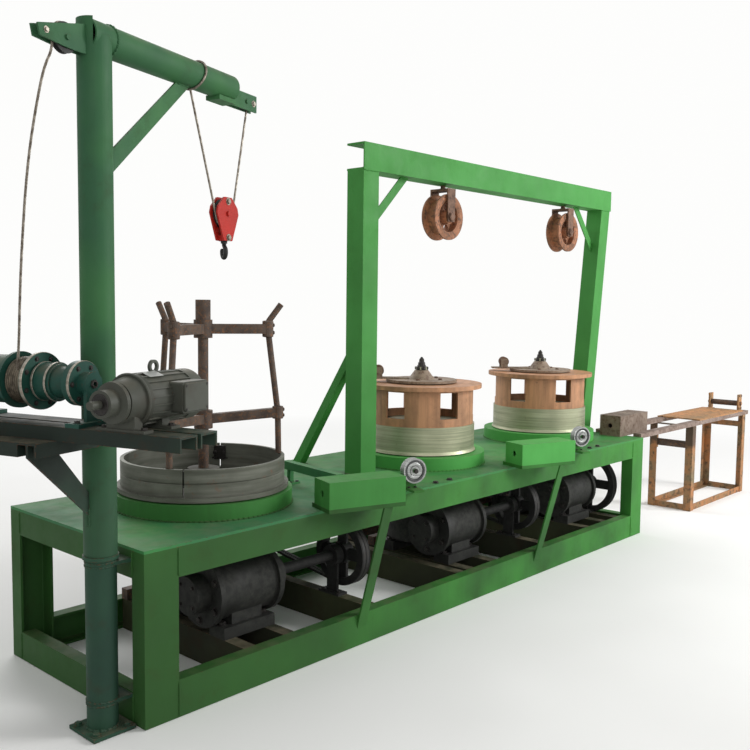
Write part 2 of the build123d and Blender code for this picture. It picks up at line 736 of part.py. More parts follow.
def spindle(x):
    """The upright shaft of a block, with the thinner neck that the flyer turns on, a nut and a point."""
    low = shaft_bottom()
    top = SPOOL_TOP + SPINDLE_TOP_ABOVE_FLANGE
    nut_top = top - SPINDLE_POINT
    nut = nut_top - SPINDLE_NUT_HEIGHT
    shape = turned([(0, low), (SPINDLE_RADIUS, low), (SPINDLE_RADIUS, SPOOL_TOP),
                    (SPINDLE_NECK_RADIUS, SPOOL_TOP), (SPINDLE_NECK_RADIUS, nut), (SPINDLE_NUT_RADIUS, nut),
                    (SPINDLE_NUT_RADIUS, nut_top), (SPINDLE_NECK_RADIUS, nut_top), (SPINDLE_TIP_RADIUS, top),
                    (0, top)])
    return Pos(x, BLOCK_Y, 0) * shape


def drum_shaft():
    """The upright shaft of the take-up drum, up to the top of its hub."""
    return rod_z(BLOCK_XS[0], BLOCK_Y, shaft_bottom(), DRUM_BOTTOM + DRUM_HUB_HEIGHT, SPINDLE_RADIUS)


# Wire basket

def basket_rods():
    """The upright rods, flared to the drum's rim below and bent outward at the top."""
    rods = []
    low = DRUM_RIM
    path_points = [(BASKET_FOOT_RADIUS, 0, low), (BASKET_SHOULDER_RADIUS, 0, BASKET_SHOULDER_HEIGHT),
                   (BASKET_WAIST_RADIUS, 0, BASKET_BEND_HEIGHT),
                   (BASKET_WAIST_RADIUS + BASKET_TIP_REACH, 0, BASKET_TOP_HEIGHT)]
    path = FilletPolyline(*path_points, radius=BASKET_BEND_RADIUS)
    start = Plane(origin=path_points[0], z_dir=path % 0)
    rod = sweep(start * Circle(BASKET_ROD_RADIUS), path)
    trim = 5 * BASKET_ROD_RADIUS
    rod -= span_box(0, 2 * BASKET_FOOT_RADIUS, -trim, trim, low - trim, low)
    for index in range(BASKET_RODS):
        rods.append(basket_turn(index) * rod)
    return one(*rods)


def basket_turn(index):
    """The place of one rod of the basket."""
    return Pos(BLOCK_XS[0], BLOCK_Y, 0) * Rot(0, 0, BASKET_FIRST_ROD + index * 360 / BASKET_RODS)


def basket_core():
    """The centre post with its sleeve, hub and two rows of arms."""
    hub_low = DRUM_BOTTOM + DRUM_HUB_HEIGHT
    core = rod_z(0, 0, hub_low, BASKET_POST_TOP, BASKET_POST_RADIUS)
    core += rod_z(0, 0, BASKET_POST_TOP - BASKET_SLEEVE_LENGTH, BASKET_POST_TOP, BASKET_SLEEVE_RADIUS)
    low = BASKET_LOWER_HUB_HEIGHT
    core += rod_z(0, 0, low - BASKET_HUB_LENGTH / 2, low + BASKET_HUB_LENGTH / 2, BASKET_HUB_RADIUS)
    high = BASKET_UPPER_ARM_HEIGHT
    core += rod_z(0, 0, high - BASKET_HUB_LENGTH / 2, high + BASKET_HUB_LENGTH / 2, BASKET_HUB_RADIUS)
    upper_reach = BASKET_WAIST_RADIUS - BASKET_ROD_RADIUS + BASKET_ARM_BITE
    lower_reach = BASKET_SHOULDER_RADIUS - BASKET_ROD_RADIUS + BASKET_ARM_BITE
    for index in range(BASKET_RODS):
        turn = Rot(0, 0, BASKET_FIRST_ROD + index * 360 / BASKET_RODS)
        upper = flat_bar((0, 0, high), (upper_reach, 0, high), (0, 1, 0),
                         BASKET_UPPER_ARM_SIZE, BASKET_UPPER_ARM_SIZE)
        lower = flat_bar((0, 0, low), (lower_reach, 0, BASKET_SHOULDER_HEIGHT), (0, 1, 0),
                         BASKET_LOWER_ARM_SIZE, BASKET_LOWER_ARM_SIZE)
        core += turn * upper
        core += turn * lower
    return Pos(BLOCK_XS[0], BLOCK_Y, 0) * core - basket_rods()


# Flyers

def flyer(x):
    """A disc that turns on the spindle, with a coned hub and an arm that carries a small roller."""
    low = AIR_GAP
    bore = SPINDLE_NECK_RADIUS + RUNNING_FIT
    hub_top = low + FLYER_THICK + FLYER_HUB_HEIGHT
    disc = turned([(bore, SEAT_GAP), (FLYER_HUB_RADIUS, SEAT_GAP), (FLYER_HUB_RADIUS, low),
                   (FLYER_RADIUS, low), (FLYER_RADIUS, low + FLYER_THICK),
                   (FLYER_HUB_RADIUS, low + FLYER_THICK), (FLYER_HUB_TOP_RADIUS, hub_top), (bore, hub_top)])
    arm = span_box(FLYER_HUB_RADIUS, FLYER_ARM_REACH, -FLYER_ARM_WIDTH / 2, FLYER_ARM_WIDTH / 2,
                   low + FLYER_THICK, flyer_arm_top())
    shape = disc + (arm - rod_z(0, 0, 0, hub_top, FLYER_HUB_RADIUS)) + flyer_ears()
    return Pos(x, BLOCK_Y, SPOOL_TOP) * Rot(0, 0, FLYER_ARM_ANGLE) * shape


def flyer_arm_top():
    """The top of the flyer's arm above the spool's flange."""
    return AIR_GAP + FLYER_THICK + FLYER_ARM_THICK


def flyer_roller_height():
    """The roller's axis above the spool's flange."""
    return flyer_arm_top() + AIR_GAP + FLYER_ROLLER_RADIUS


def flyer_ears():
    """Two ears on the flyer's arm that hold the roller's pin."""
    height = flyer_roller_height()
    x0 = FLYER_ROLLER_PLACE - FLYER_EAR_LENGTH / 2
    x1 = FLYER_ROLLER_PLACE + FLYER_EAR_LENGTH / 2
    low = AIR_GAP + FLYER_THICK
    gap = FLYER_ROLLER_LENGTH / 2 + FLYER_ROLLER_PLAY
    reach = gap + FLYER_EAR_THICK
    ears = []
    for side in (-1, 1):
        ear = span_box(x0, x1, side * gap, side * reach, low, height + FLYER_EAR_TOP)
        ear += span_box(x0, x1, 0, side * reach, low, flyer_arm_top())
        ears.append(ear)
    pin = rod_y(FLYER_ROLLER_PLACE, -reach, reach, height, FLYER_PIN_RADIUS)
    return ears[0] + ears[1] + pin


def flyer_roller(x):
    """The small roller on a flyer."""
    height = flyer_roller_height()
    half = FLYER_ROLLER_LENGTH / 2
    radius = FLYER_ROLLER_RADIUS
    waist = radius * FLYER_ROLLER_WAIST
    rim = FLYER_ROLLER_RIM
    bore = FLYER_PIN_RADIUS + RUNNING_FIT
    roller = turned([(bore, -half), (radius, -half), (radius, rim - half), (waist, -rim), (waist, rim),
                     (radius, half - rim), (radius, half), (bore, half)])
    place = Pos(x, BLOCK_Y, SPOOL_TOP) * Rot(0, 0, FLYER_ARM_ANGLE) * Pos(FLYER_ROLLER_PLACE, 0, height)
    return place * Rot(90, 0, 0) * roller


# Gearboxes, shafts, belts and motors

def gearbox(x):
    """A worm gearbox: upright wheel case with a neck up to the deck, worm barrel in front, feet."""
    case_top = GEAR_CASE_BOTTOM + GEAR_CASE_HEIGHT
    case = rod_z(x, BLOCK_Y, GEAR_CASE_BOTTOM, case_top, GEAR_CASE_RADIUS)
    case = fillet(case.edges().filter_by(GeomType.CIRCLE), GEAR_CASE_ROUND)
    neck = rod_z(x, BLOCK_Y, case_top - OVERCUT, DECK_BOTTOM, GEAR_NECK_RADIUS)
    flange = rod_z(x, BLOCK_Y, DECK_BOTTOM - GEAR_NECK_FLANGE_THICK, DECK_BOTTOM, GEAR_NECK_FLANGE_RADIUS)
    half = WORM_BARREL_LENGTH / 2
    barrel = rod_x(x - half, x + half, WORM_Y, WORM_SHAFT_HEIGHT, WORM_BARREL_RADIUS)
    body = case + neck + flange + barrel
    for side in (-1, 1):
        inner = x + side * half
        outer = inner + side * WORM_FLANGE_THICK
        body += rod_x(inner, outer, WORM_Y, WORM_SHAFT_HEIGHT, WORM_FLANGE_RADIUS)
        body += rod_x(outer, outer + side * WORM_CAP_LENGTH, WORM_Y, WORM_SHAFT_HEIGHT, WORM_CAP_RADIUS)
    foot_half = GEAR_FOOT_LENGTH / 2
    leg_half = foot_half - GEAR_LEG_END_INSET
    foot_top = LONG_BOTTOM_RAIL + GEAR_FOOT_HEIGHT
    front = WORM_Y - WORM_BARREL_RADIUS + GEAR_FOOT_INSET
    back = BLOCK_Y + GEAR_CASE_RADIUS - GEAR_FOOT_WIDTH - GEAR_FOOT_INSET
    for y in (front, back):
        foot = span_box(x - foot_half, x + foot_half, y, y + GEAR_FOOT_WIDTH, LONG_BOTTOM_RAIL, foot_top)
        leg = span_box(x - leg_half, x + leg_half, y + GEAR_LEG_FRONT_INSET,
                       y + GEAR_FOOT_WIDTH - GEAR_LEG_BACK_INSET, foot_top, GEAR_CASE_BOTTOM + GEAR_LEG_REACH)
        body += foot + leg
    body -= rod_z(x, BLOCK_Y, DECK_BOTTOM - NECK_BORE_DEPTH, DECK_BOTTOM, SPINDLE_RADIUS + RUNNING_FIT)
    bore_end = x + half + WORM_FLANGE_THICK
    bore_mouth = bore_end + WORM_CAP_LENGTH
    body -= rod_x(bore_end, bore_mouth, WORM_Y, WORM_SHAFT_HEIGHT, PULLEY_BORE_RADIUS + RUNNING_FIT)
    return body


def bearing_stand(index):
    """An upright flat with a bearing eye that carries the outer end of a worm shaft."""
    x = stand_x(index)
    half = STAND_THICK / 2
    plate = span_box(x - half, x + half, WORM_Y - STAND_WIDTH / 2, WORM_Y + STAND_WIDTH / 2, LONG_BOTTOM_RAIL,
                     WORM_SHAFT_HEIGHT)
    eye_half = STAND_EYE_LENGTH / 2
    eye = rod_x(x - eye_half, x + eye_half, WORM_Y, WORM_SHAFT_HEIGHT, STAND_EYE_RADIUS)
    foot = span_box(x - RAIL_FLANGE / 2, x + RAIL_FLANGE / 2, WORM_Y - STAND_WIDTH, WORM_Y + STAND_WIDTH,
                    LONG_BOTTOM_RAIL, LONG_BOTTOM_RAIL + STAND_FOOT_THICK)
    bore = rod_x(x - STAND_EYE_LENGTH, x + STAND_EYE_LENGTH, WORM_Y, WORM_SHAFT_HEIGHT,
                 PULLEY_BORE_RADIUS + RUNNING_FIT)
    return plate + eye + foot - bore


def belt_band():
    """The width over all the belts of one drive."""
    return BELT_PITCH * (BELT_COUNT - 1) + BELT_WIDTH


def pulley_width():
    """The width of the rim of one drive's pulleys."""
    return belt_band() + 2 * PULLEY_SIDE


def grooved_rim(radius, width, inner):
    """A pulley rim about X with a groove for each belt, its outer radius flush with the belts' backs."""
    half = width / 2
    depth = BELT_THICK
    points = [(inner, -half), (radius, -half)]
    for count in range(BELT_COUNT):
        middle = (count - (BELT_COUNT - 1) / 2) * BELT_PITCH
        top = BELT_WIDTH / 2 + BELT_PLAY
        low = top - BELT_TAPER
        points += [(radius, middle - top), (radius - depth, middle - low), (radius - depth, middle + low),
                   (radius, middle + top)]
    points += [(radius, half), (inner, half)]
    return Rot(0, 90, 0) * turned(points)


def belt_pulley(index):
    """A spoked belt pulley with its shaft into the gearbox."""
    x = pulley_x(index)
    radius = PULLEY_RADII[index]
    width = pulley_width()
    inner = radius - BELT_THICK - PULLEY_RIM
    rim = grooved_rim(radius, width, inner)
    hub = rod_x(-width / 2, width / 2, 0, 0, PULLEY_HUB_RADIUS)
    wheel = rim + hub
    for turn in range(PULLEY_SPOKES):
        spoke = Rot(turn * 360 / PULLEY_SPOKES, 0, 0) * span_box(
            -PULLEY_SPOKE_THICK / 2, PULLEY_SPOKE_THICK / 2, -PULLEY_SPOKE_WIDTH / 2, PULLEY_SPOKE_WIDTH / 2,
            PULLEY_HUB_RADIUS - PULLEY_SPOKE_BITE, inner + PULLEY_SPOKE_BITE)
        wheel += spoke
    start = BLOCK_XS[index] + WORM_BARREL_LENGTH / 2 + WORM_FLANGE_THICK + SEAT_GAP
    shaft = rod_x(start, x + width / 2, WORM_Y, WORM_SHAFT_HEIGHT, PULLEY_BORE_RADIUS)
    return Pos(x, WORM_Y, WORM_SHAFT_HEIGHT) * wheel + shaft


def motor_pulley(index):
    """The small pulley on a motor's shaft."""
    x = pulley_x(index)
    width = pulley_width()
    wheel = grooved_rim(MOTOR_PULLEY_RADIUS, width, NEARLY_NOTHING)
    start = motor_face(index) - MOTOR_SHAFT_SOCKET
    shaft = rod_x(start, x, MOTOR_Y, MOTOR_SHAFT_HEIGHT, MOTOR_PULLEY_BORE)
    return Pos(x, MOTOR_Y, MOTOR_SHAFT_HEIGHT) * wheel + shaft


def motor_face(index):
    """The end face of a motor, short of its pulley."""
    return pulley_x(index) - pulley_width() / 2 - MOTOR_TO_PULLEY


def belts(index):
    """The belts of one drive, each a closed loop round both pulleys."""
    x = pulley_x(index)
    loops = []
    for count in range(BELT_COUNT):
        middle = x + (count - (BELT_COUNT - 1) / 2) * BELT_PITCH
        outer = belt_loop(index, 0)
        inner = belt_loop(index, -BELT_THICK + BELT_PLAY)
        band = extrude(outer - inner, amount=BELT_WIDTH / 2 - BELT_TAPER, both=True)
        loops.append(Pos(middle, 0, 0) * band)
    return one(*loops)


def belt_loop(index, offset):
    """A face round both pulleys in the Y and Z plane, offset from the pulleys' outer radii."""
    big = PULLEY_RADII[index] + offset
    small = MOTOR_PULLEY_RADIUS + offset
    plane = Plane(origin=(0, 0, 0), x_dir=(0, 1, 0), z_dir=(1, 0, 0))
    gap = MOTOR_Y - WORM_Y
    lean = math.asin((PULLEY_RADII[index] - MOTOR_PULLEY_RADIUS) / gap)
    sin_lean = math.sin(lean)
    cos_lean = math.cos(lean)
    y0 = WORM_Y
    y1 = MOTOR_Y
    z0 = WORM_SHAFT_HEIGHT
    z1 = MOTOR_SHAFT_HEIGHT
    top_big = (y0 + big * sin_lean, z0 + big * cos_lean)
    top_small = (y1 + small * sin_lean, z1 + small * cos_lean)
    low_big = (y0 + big * sin_lean, z0 - big * cos_lean)
    low_small = (y1 + small * sin_lean, z1 - small * cos_lean)
    outline = [Line(top_big, top_small),
               ThreePointArc(top_small, (y1 + small, z1), low_small),
               Line(low_small, low_big),
               ThreePointArc(low_big, (y0 - big, z0), top_big)]
    return plane * make_face(outline)


def drive_motor(index):
    """A finned motor on its feet and slide rails."""
    face = motor_face(index)
    back = face - MOTOR_LENGTH - MOTOR_BELL_LENGTH
    z = MOTOR_SHAFT_HEIGHT
    body = rod_x(back, face - MOTOR_BELL_LENGTH, MOTOR_Y, z, MOTOR_RADIUS - MOTOR_FIN_HEIGHT)
    body += rod_x(face - MOTOR_BELL_LENGTH, face, MOTOR_Y, z, MOTOR_RADIUS - MOTOR_BELL_STEP)
    body += rod_x(back - MOTOR_COWL_LENGTH, back, MOTOR_Y, z, MOTOR_RADIUS)
    for turn in range(MOTOR_FINS):
        fin = Rot(turn * 360 / MOTOR_FINS, 0, 0) * span_box(
            back, face - MOTOR_BELL_LENGTH, -MOTOR_FIN_THICK / 2, MOTOR_FIN_THICK / 2,
            MOTOR_RADIUS - MOTOR_FIN_HEIGHT - MOTOR_FIN_ROOT, MOTOR_RADIUS)
        body += Pos(0, MOTOR_Y, z) * fin
    foot_low = LONG_BOTTOM_RAIL + MOTOR_RAIL_HEIGHT
    half = MOTOR_FOOT_LENGTH / 2
    wide = MOTOR_FOOT_WIDTH / 2
    pedestal = MOTOR_PEDESTAL_WIDTH / 2
    for x in (back + MOTOR_FOOT_FROM_BACK, face - MOTOR_BELL_LENGTH - MOTOR_FOOT_FROM_BELL):
        body += span_box(x - half, x + half, MOTOR_Y - wide, MOTOR_Y + wide, foot_low,
                         foot_low + MOTOR_FOOT_HEIGHT)
        body += span_box(x - half, x + half, MOTOR_Y - pedestal, MOTOR_Y + pedestal, foot_low, z)
    socket = face - MOTOR_SHAFT_SOCKET - SEAT_GAP
    body -= rod_x(socket, face, MOTOR_Y, z, MOTOR_PULLEY_BORE + RUNNING_FIT)
    return body


def motor_rails():
    """Slide rails under the motors, across the cross members."""
    rails = []
    for index in range(len(BLOCK_XS)):
        face = motor_face(index)
        back = face - MOTOR_LENGTH - MOTOR_BELL_LENGTH
        ends = (BLOCK_XS[index] - CROSS_FROM_GEARBOX - RAIL_FLANGE / 2, stand_x(index) + RAIL_FLANGE / 2)
        x0 = min(ends[0], back)
        x1 = max(ends[1], face - MOTOR_BELL_LENGTH)
        foot = MOTOR_FOOT_WIDTH / 2
        for y in (MOTOR_Y - foot, MOTOR_Y + foot - MOTOR_RAIL_WIDTH):
            rails.append(span_box(x0, x1, y, y + MOTOR_RAIL_WIDTH, LONG_BOTTOM_RAIL,
                                  LONG_BOTTOM_RAIL + MOTOR_RAIL_HEIGHT))
    return one(*rails)


# Die boxes, guide bar and guide pulleys

def die_place(count):
    """The front left corner of a die box, turned along the wire."""
    x = LEFT_END + DIE_BOX_FROM_LEFT + count * DIE_BOX_PITCH
    return Pos(x, FRONT + DIE_BOX_FROM_FRONT, BASE_HEIGHT) * Rot(0, 0, DIE_BOX_TURN)


def die_box(count):
    """A closed box with a wire hole through both ends."""
    low = DIE_PLATE_THICK
    high = low + DIE_BOX_HEIGHT
    wall = DIE_BOX_WALL
    box = span_box(0, DIE_BOX_LENGTH, 0, DIE_BOX_DEPTH, low, high)
    box -= span_box(wall, DIE_BOX_LENGTH - wall, wall, DIE_BOX_DEPTH - wall, low, high - wall)
    box -= rod_x(-OVERCUT, DIE_BOX_LENGTH + OVERCUT, DIE_BOX_DEPTH / 2, (low + high) / 2, DIE_BORE_RADIUS)
    return die_place(count) * box


def die_plate(count):
    """The plate that a die box stands on, reaching back over the deck."""
    plate = span_box(0, DIE_BOX_LENGTH, 0, DIE_PLATE_DEPTH, 0, DIE_PLATE_THICK)
    return die_place(count) * plate


def strut(count):
    """A flat that leans out from the bottom rail to the die box's plate."""
    corner = LEFT_END + DIE_BOX_FROM_LEFT + count * DIE_BOX_PITCH
    x = corner + STRUT_FROM_BOX
    top = BASE_HEIGHT
    outline = [(FRONT, STRUT_FOOT_HEIGHT), (FRONT, STRUT_FOOT_HEIGHT - STRUT_FOOT_LENGTH),
               (FRONT - STRUT_REACH - STRUT_THICK, top), (FRONT - STRUT_REACH, top)]
    face = make_face(Plane.YZ * Polyline(*outline, close=True))
    return Pos(x - STRUT_WIDTH / 2, 0, 0) * extrude(face, amount=STRUT_WIDTH)


def entry_box():
    """The rusty entry die box that stands half over the right end."""
    x0 = LEFT_END + ENTRY_BOX_FROM_LEFT
    y0 = FRONT + ENTRY_BOX_FROM_FRONT
    x1 = x0 + ENTRY_BOX_LENGTH
    y1 = y0 + ENTRY_BOX_DEPTH
    top = BASE_HEIGHT + ENTRY_BOX_HEIGHT
    wall = DIE_BOX_WALL
    box = span_box(x0, x1, y0, y1, BASE_HEIGHT, top)
    box -= span_box(x0 + wall, x1 - wall, y0 + wall, y1 - wall, BASE_HEIGHT + wall, top - wall)
    middle = BASE_HEIGHT + ENTRY_BOX_HEIGHT / 2
    return box - rod_x(x0 - OVERCUT, x1 + OVERCUT, y0 + ENTRY_BOX_DEPTH / 2, middle, DIE_BORE_RADIUS)


def guide_bar():
    """A square bar across the deck beside the first block, on two feet."""
    height = DIE_PLATE_THICK + DIE_BOX_HEIGHT - GUIDE_BAR_SIZE / 2 - GUIDE_BAR_DROP
    z = BASE_HEIGHT + height
    start = (LEFT_END + GUIDE_BAR_START[0], FRONT + GUIDE_BAR_START[1], z)
    end = (LEFT_END + GUIDE_BAR_END[0], FRONT + GUIDE_BAR_END[1], z)
    bar = flat_bar(start, end, (0, 0, 1), GUIDE_BAR_SIZE, GUIDE_BAR_SIZE)
    leg = GUIDE_LEG_SIZE / 2
    wide = GUIDE_FOOT_SIZE[0] / 2
    deep = GUIDE_FOOT_SIZE[1] / 2
    foot_top = BASE_HEIGHT + GUIDE_FOOT_THICK
    for x, y in ((start[0], start[1] + deep), (end[0], end[1] - deep)):
        bar += span_box(x - leg, x + leg, y - leg, y + leg, BASE_HEIGHT, z)
        bar += span_box(x - wide, x + wide, y - deep, y + deep, BASE_HEIGHT, foot_top)
    return bar


def guide_place(count):
    """The centre of a guide pulley, its axle turned towards the operator's side."""
    x = LEFT_END + GUIDE_PULLEYS_FROM_LEFT[count]
    return Pos(x, FRONT, BASE_HEIGHT + GUIDE_PULLEY_HEIGHT) * Rot(0, 0, GUIDE_PULLEY_TURN)


def guide_pulley(count):
    """A bright grooved pulley."""
    half = GUIDE_PULLEY_WIDTH / 2
    bore = GUIDE_PIN_RADIUS + RUNNING_FIT
    radius = GUIDE_PULLEY_RADIUS
    hub = GUIDE_HUB_RADIUS
    face = half - GUIDE_FACE_DEPTH
    rim = radius - GUIDE_RIM
    edge = radius - GUIDE_FACE_RADIUS_GAP
    wheel = turned([(bore, -half), (hub, -half), (hub, -face), (edge, -face), (rim, -half), (radius, -half),
                    (radius, -face), (radius - GUIDE_GROOVE, 0), (radius, face), (radius, half), (rim, half),
                    (edge, face), (hub, face), (hub, half), (bore, half)])
    return guide_place(count) * Rot(90, 0, 0) * wheel


def guide_bracket(count):
    """The upright plate, foot and axle that hold a guide pulley."""
    half = GUIDE_PULLEY_WIDTH / 2
    back = half + GUIDE_SIDE_GAP
    wide = GUIDE_BRACKET_WIDTH / 2
    thick = GUIDE_BRACKET_THICK
    plate = span_box(-wide, wide, back, back + thick, -GUIDE_PULLEY_HEIGHT, GUIDE_BRACKET_TOP)
    foot = span_box(-wide, wide, back + thick - GUIDE_BRACKET_FOOT, back + thick, -GUIDE_PULLEY_HEIGHT,
                    thick - GUIDE_PULLEY_HEIGHT)
    pin = rod_y(0, -half - GUIDE_PIN_END, back + thick, 0, GUIDE_PIN_RADIUS)
    return guide_place(count) * (plate + foot + pin)


# Gantry and sheaves

def gantry_posts():
    """The upright left post and the leaning right post, both square tubes."""
    half = GANTRY_POST / 2
    inner = half - GANTRY_POST_WALL
    left_x = LEFT_END + GANTRY_LEFT_FOOT
    right_x = LEFT_END + GANTRY_RIGHT_FOOT
    rise = GANTRY_BEAM_BOTTOM - BASE_HEIGHT
    section = Rectangle(2 * half, 2 * half) - Rectangle(2 * inner, 2 * inner)
    left = Pos(left_x, GANTRY_Y, BASE_HEIGHT) * extrude(section, amount=rise)
    outline = [(right_x - half, BASE_HEIGHT), (right_x + half, BASE_HEIGHT),
               (right_x + half + GANTRY_RIGHT_LEAN, BASE_HEIGHT + rise),
               (right_x - half + GANTRY_RIGHT_LEAN, BASE_HEIGHT + rise)]
    wall = GANTRY_POST_WALL
    hollow = [(x + inset, z) for (x, z), inset in zip(outline, (wall, -wall, -wall, wall))]
    skin = extrude(make_face(Plane.XZ * Polyline(*outline, close=True)), amount=half, both=True)
    core = extrude(make_face(Plane.XZ * Polyline(*hollow, close=True)), amount=inner, both=True)
    right = Pos(0, GANTRY_Y, 0) * (skin - core)
    return left, right


def gantry_beam():
    """The beam, a channel with its web to the front."""
    z = GANTRY_BEAM_BOTTOM + GANTRY_BEAM_HEIGHT / 2
    y = GANTRY_Y - GANTRY_BEAM_FLANGE
    return channel((LEFT_END + GANTRY_BEAM_LEFT, y, z), (LEFT_END + GANTRY_BEAM_RIGHT, y, z), (0, 1, 0),
                   GANTRY_BEAM_HEIGHT, GANTRY_BEAM_FLANGE * 2)


def corner_braces():
    """The two small braces between posts and beam."""
    top = GANTRY_BEAM_BOTTOM
    reach = CORNER_BRACE_REACH
    half = CORNER_BRACE_WIDTH * math.sqrt(0.5)
    left_x = LEFT_END + GANTRY_LEFT_FOOT + GANTRY_POST / 2
    right_x = LEFT_END + GANTRY_RIGHT_FOOT - GANTRY_POST / 2 + GANTRY_RIGHT_LEAN
    shapes = []
    for x, side, lean in ((left_x, 1, 0), (right_x, -1, GANTRY_RIGHT_LEAN / (top - BASE_HEIGHT))):
        outline = [(x + side * (reach - half), top), (x + side * (reach + half), top),
                   (x - lean * (reach + half), top - reach - half),
                   (x - lean * (reach - half), top - reach + half)]
        face = make_face(Plane.XZ * Polyline(*outline, close=True))
        shapes.append(Pos(0, GANTRY_Y, 0) * extrude(face, amount=CORNER_BRACE_THICK / 2, both=True))
    return shapes[0] + shapes[1]


def back_stay():
    """The stay from the left post down to the back edge of the deck."""
    x = LEFT_END + GANTRY_LEFT_FOOT
    start_y = GANTRY_Y + GANTRY_POST / 2
    end_y = FRONT + STAY_FOOT_FROM_FRONT
    outline = [(start_y, STAY_TOP_HEIGHT), (start_y, STAY_TOP_HEIGHT - STAY_SIZE * STAY_TOP_CUT),
               (end_y - STAY_SIZE * STAY_FOOT_CUT, BASE_HEIGHT), (end_y, BASE_HEIGHT)]
    face = make_face(Plane.YZ * Polyline(*outline, close=True))
    return Pos(x - STAY_SIZE / 2, 0, 0) * extrude(face, amount=STAY_SIZE)


def sheave(count):
    """An overhead sheave with a wide groove, two rims and holes through its web."""
    x = LEFT_END + SHEAVES_FROM_LEFT[count]
    half = SHEAVE_WIDTH / 2
    bore = SHEAVE_PIN_RADIUS + RUNNING_FIT
    floor = SHEAVE_RADIUS - SHEAVE_GROOVE
    inside = floor - SHEAVE_SKIN
    hub = SHEAVE_HUB_RADIUS
    web = SHEAVE_WEB_HALF
    rim = half - SHEAVE_RIM
    slope = rim - SHEAVE_GROOVE_SLOPE
    chamfer = half - SHEAVE_RIM_CHAMFER
    wheel = turned([(bore, -half), (hub, -half), (hub, -web), (inside, -web), (inside, -chamfer),
                    (floor, -half), (SHEAVE_RADIUS, -half), (SHEAVE_RADIUS, -rim), (floor, -slope),
                    (floor, slope), (SHEAVE_RADIUS, rim), (SHEAVE_RADIUS, half), (floor, half),
                    (inside, chamfer), (inside, web), (hub, web), (hub, half), (bore, half)])
    hole = Cylinder(min(SHEAVE_HOLE_RADIUS, (inside - hub) / 2 - SHEAVE_HOLE_EDGE), 2 * (web + OVERCUT))
    for turn in range(SHEAVE_HOLES):
        wheel -= Rot(0, 0, turn * 360 / SHEAVE_HOLES) * Pos((hub + inside) / 2, 0, 0) * hole
    return Pos(x, GANTRY_Y, SHEAVE_CENTRE_HEIGHT) * Rot(90, 0, 0) * wheel


def sheave_hanger(count):
    """Two A shaped cheeks, a yoke, a stud up to the beam and the pin."""
    x = LEFT_END + SHEAVES_FROM_LEFT[count]
    half = SHEAVE_WIDTH / 2 + CHEEK_SIDE_GAP
    low = SHEAVE_CENTRE_HEIGHT
    foot = low - CHEEK_BELOW_PIN
    outline = [(x - CHEEK_FOOT_WIDTH / 2, foot), (x + CHEEK_FOOT_WIDTH / 2, foot),
               (x + CHEEK_TOP_WIDTH, YOKE_HEIGHT), (x - CHEEK_TOP_WIDTH, YOKE_HEIGHT)]
    cheek = extrude(make_face(Plane.XZ * Polyline(*outline, close=True)), amount=-CHEEK_THICK)
    front = Pos(0, GANTRY_Y - half - CHEEK_THICK, 0) * cheek
    back = Pos(0, GANTRY_Y + half, 0) * cheek
    yoke = span_box(x - CHEEK_TOP_WIDTH, x + CHEEK_TOP_WIDTH, GANTRY_Y - half - CHEEK_THICK,
                    GANTRY_Y + half + CHEEK_THICK, YOKE_HEIGHT, YOKE_HEIGHT + YOKE_THICK)
    stud = rod_z(x, GANTRY_Y, YOKE_HEIGHT, GANTRY_BEAM_BOTTOM, YOKE_STUD_RADIUS)
    reach = half + CHEEK_THICK + SHEAVE_PIN_END
    pin = rod_y(x, GANTRY_Y - reach, GANTRY_Y + reach, low, SHEAVE_PIN_RADIUS)
    return front + back + yoke + stud + pin


# Crane

def crane_place():
    """The crane's own directions: X out along the arm, Y to its left."""
    return Pos(CRANE_X, CRANE_Y, 0) * Rot(0, 0, CRANE_TURN)


def crane_post():
    """The fixed lower post with its base plate, cap and pivot."""
    bore = CRANE_POST_RADIUS - CRANE_POST_WALL
    post = tube_z(0, 0, CRANE_FOOT_THICK, CRANE_POST_TOP, CRANE_POST_RADIUS, bore)
    half = CRANE_FOOT_SIZE / 2
    foot = span_box(-half, half, -half, half, 0, CRANE_FOOT_THICK)
    cap = rod_z(0, 0, CRANE_POST_TOP, CRANE_POST_TOP + CRANE_CAP_THICK, CRANE_CAP_RADIUS)
    pivot = rod_z(0, 0, CRANE_POST_TOP, CRANE_POST_TOP + CRANE_PIVOT_LENGTH, CRANE_PIVOT_RADIUS)
    body = Pos(CRANE_X, CRANE_Y, 0) * (post + foot + cap + pivot)
    return body - span_box(LEFT_END, LEFT_END + CRANE_FOOT_SIZE, FRONT, BACK, 0, BASE_HEIGHT)


def crane_brackets():
    """Plates that tie the post to the end of the base."""
    plates = []
    for z in CRANE_BRACKET_HEIGHTS:
        half = CRANE_BRACKET_WIDTH / 2
        plate = span_box(CRANE_X, LEFT_END, CRANE_Y - half, CRANE_Y + half, z, z + CRANE_BRACKET_THICK)
        top = z + CRANE_BRACKET_THICK + OVERCUT
        plates.append(plate - rod_z(CRANE_X, CRANE_Y, z - OVERCUT, top, CRANE_POST_RADIUS))
    return one(*plates)


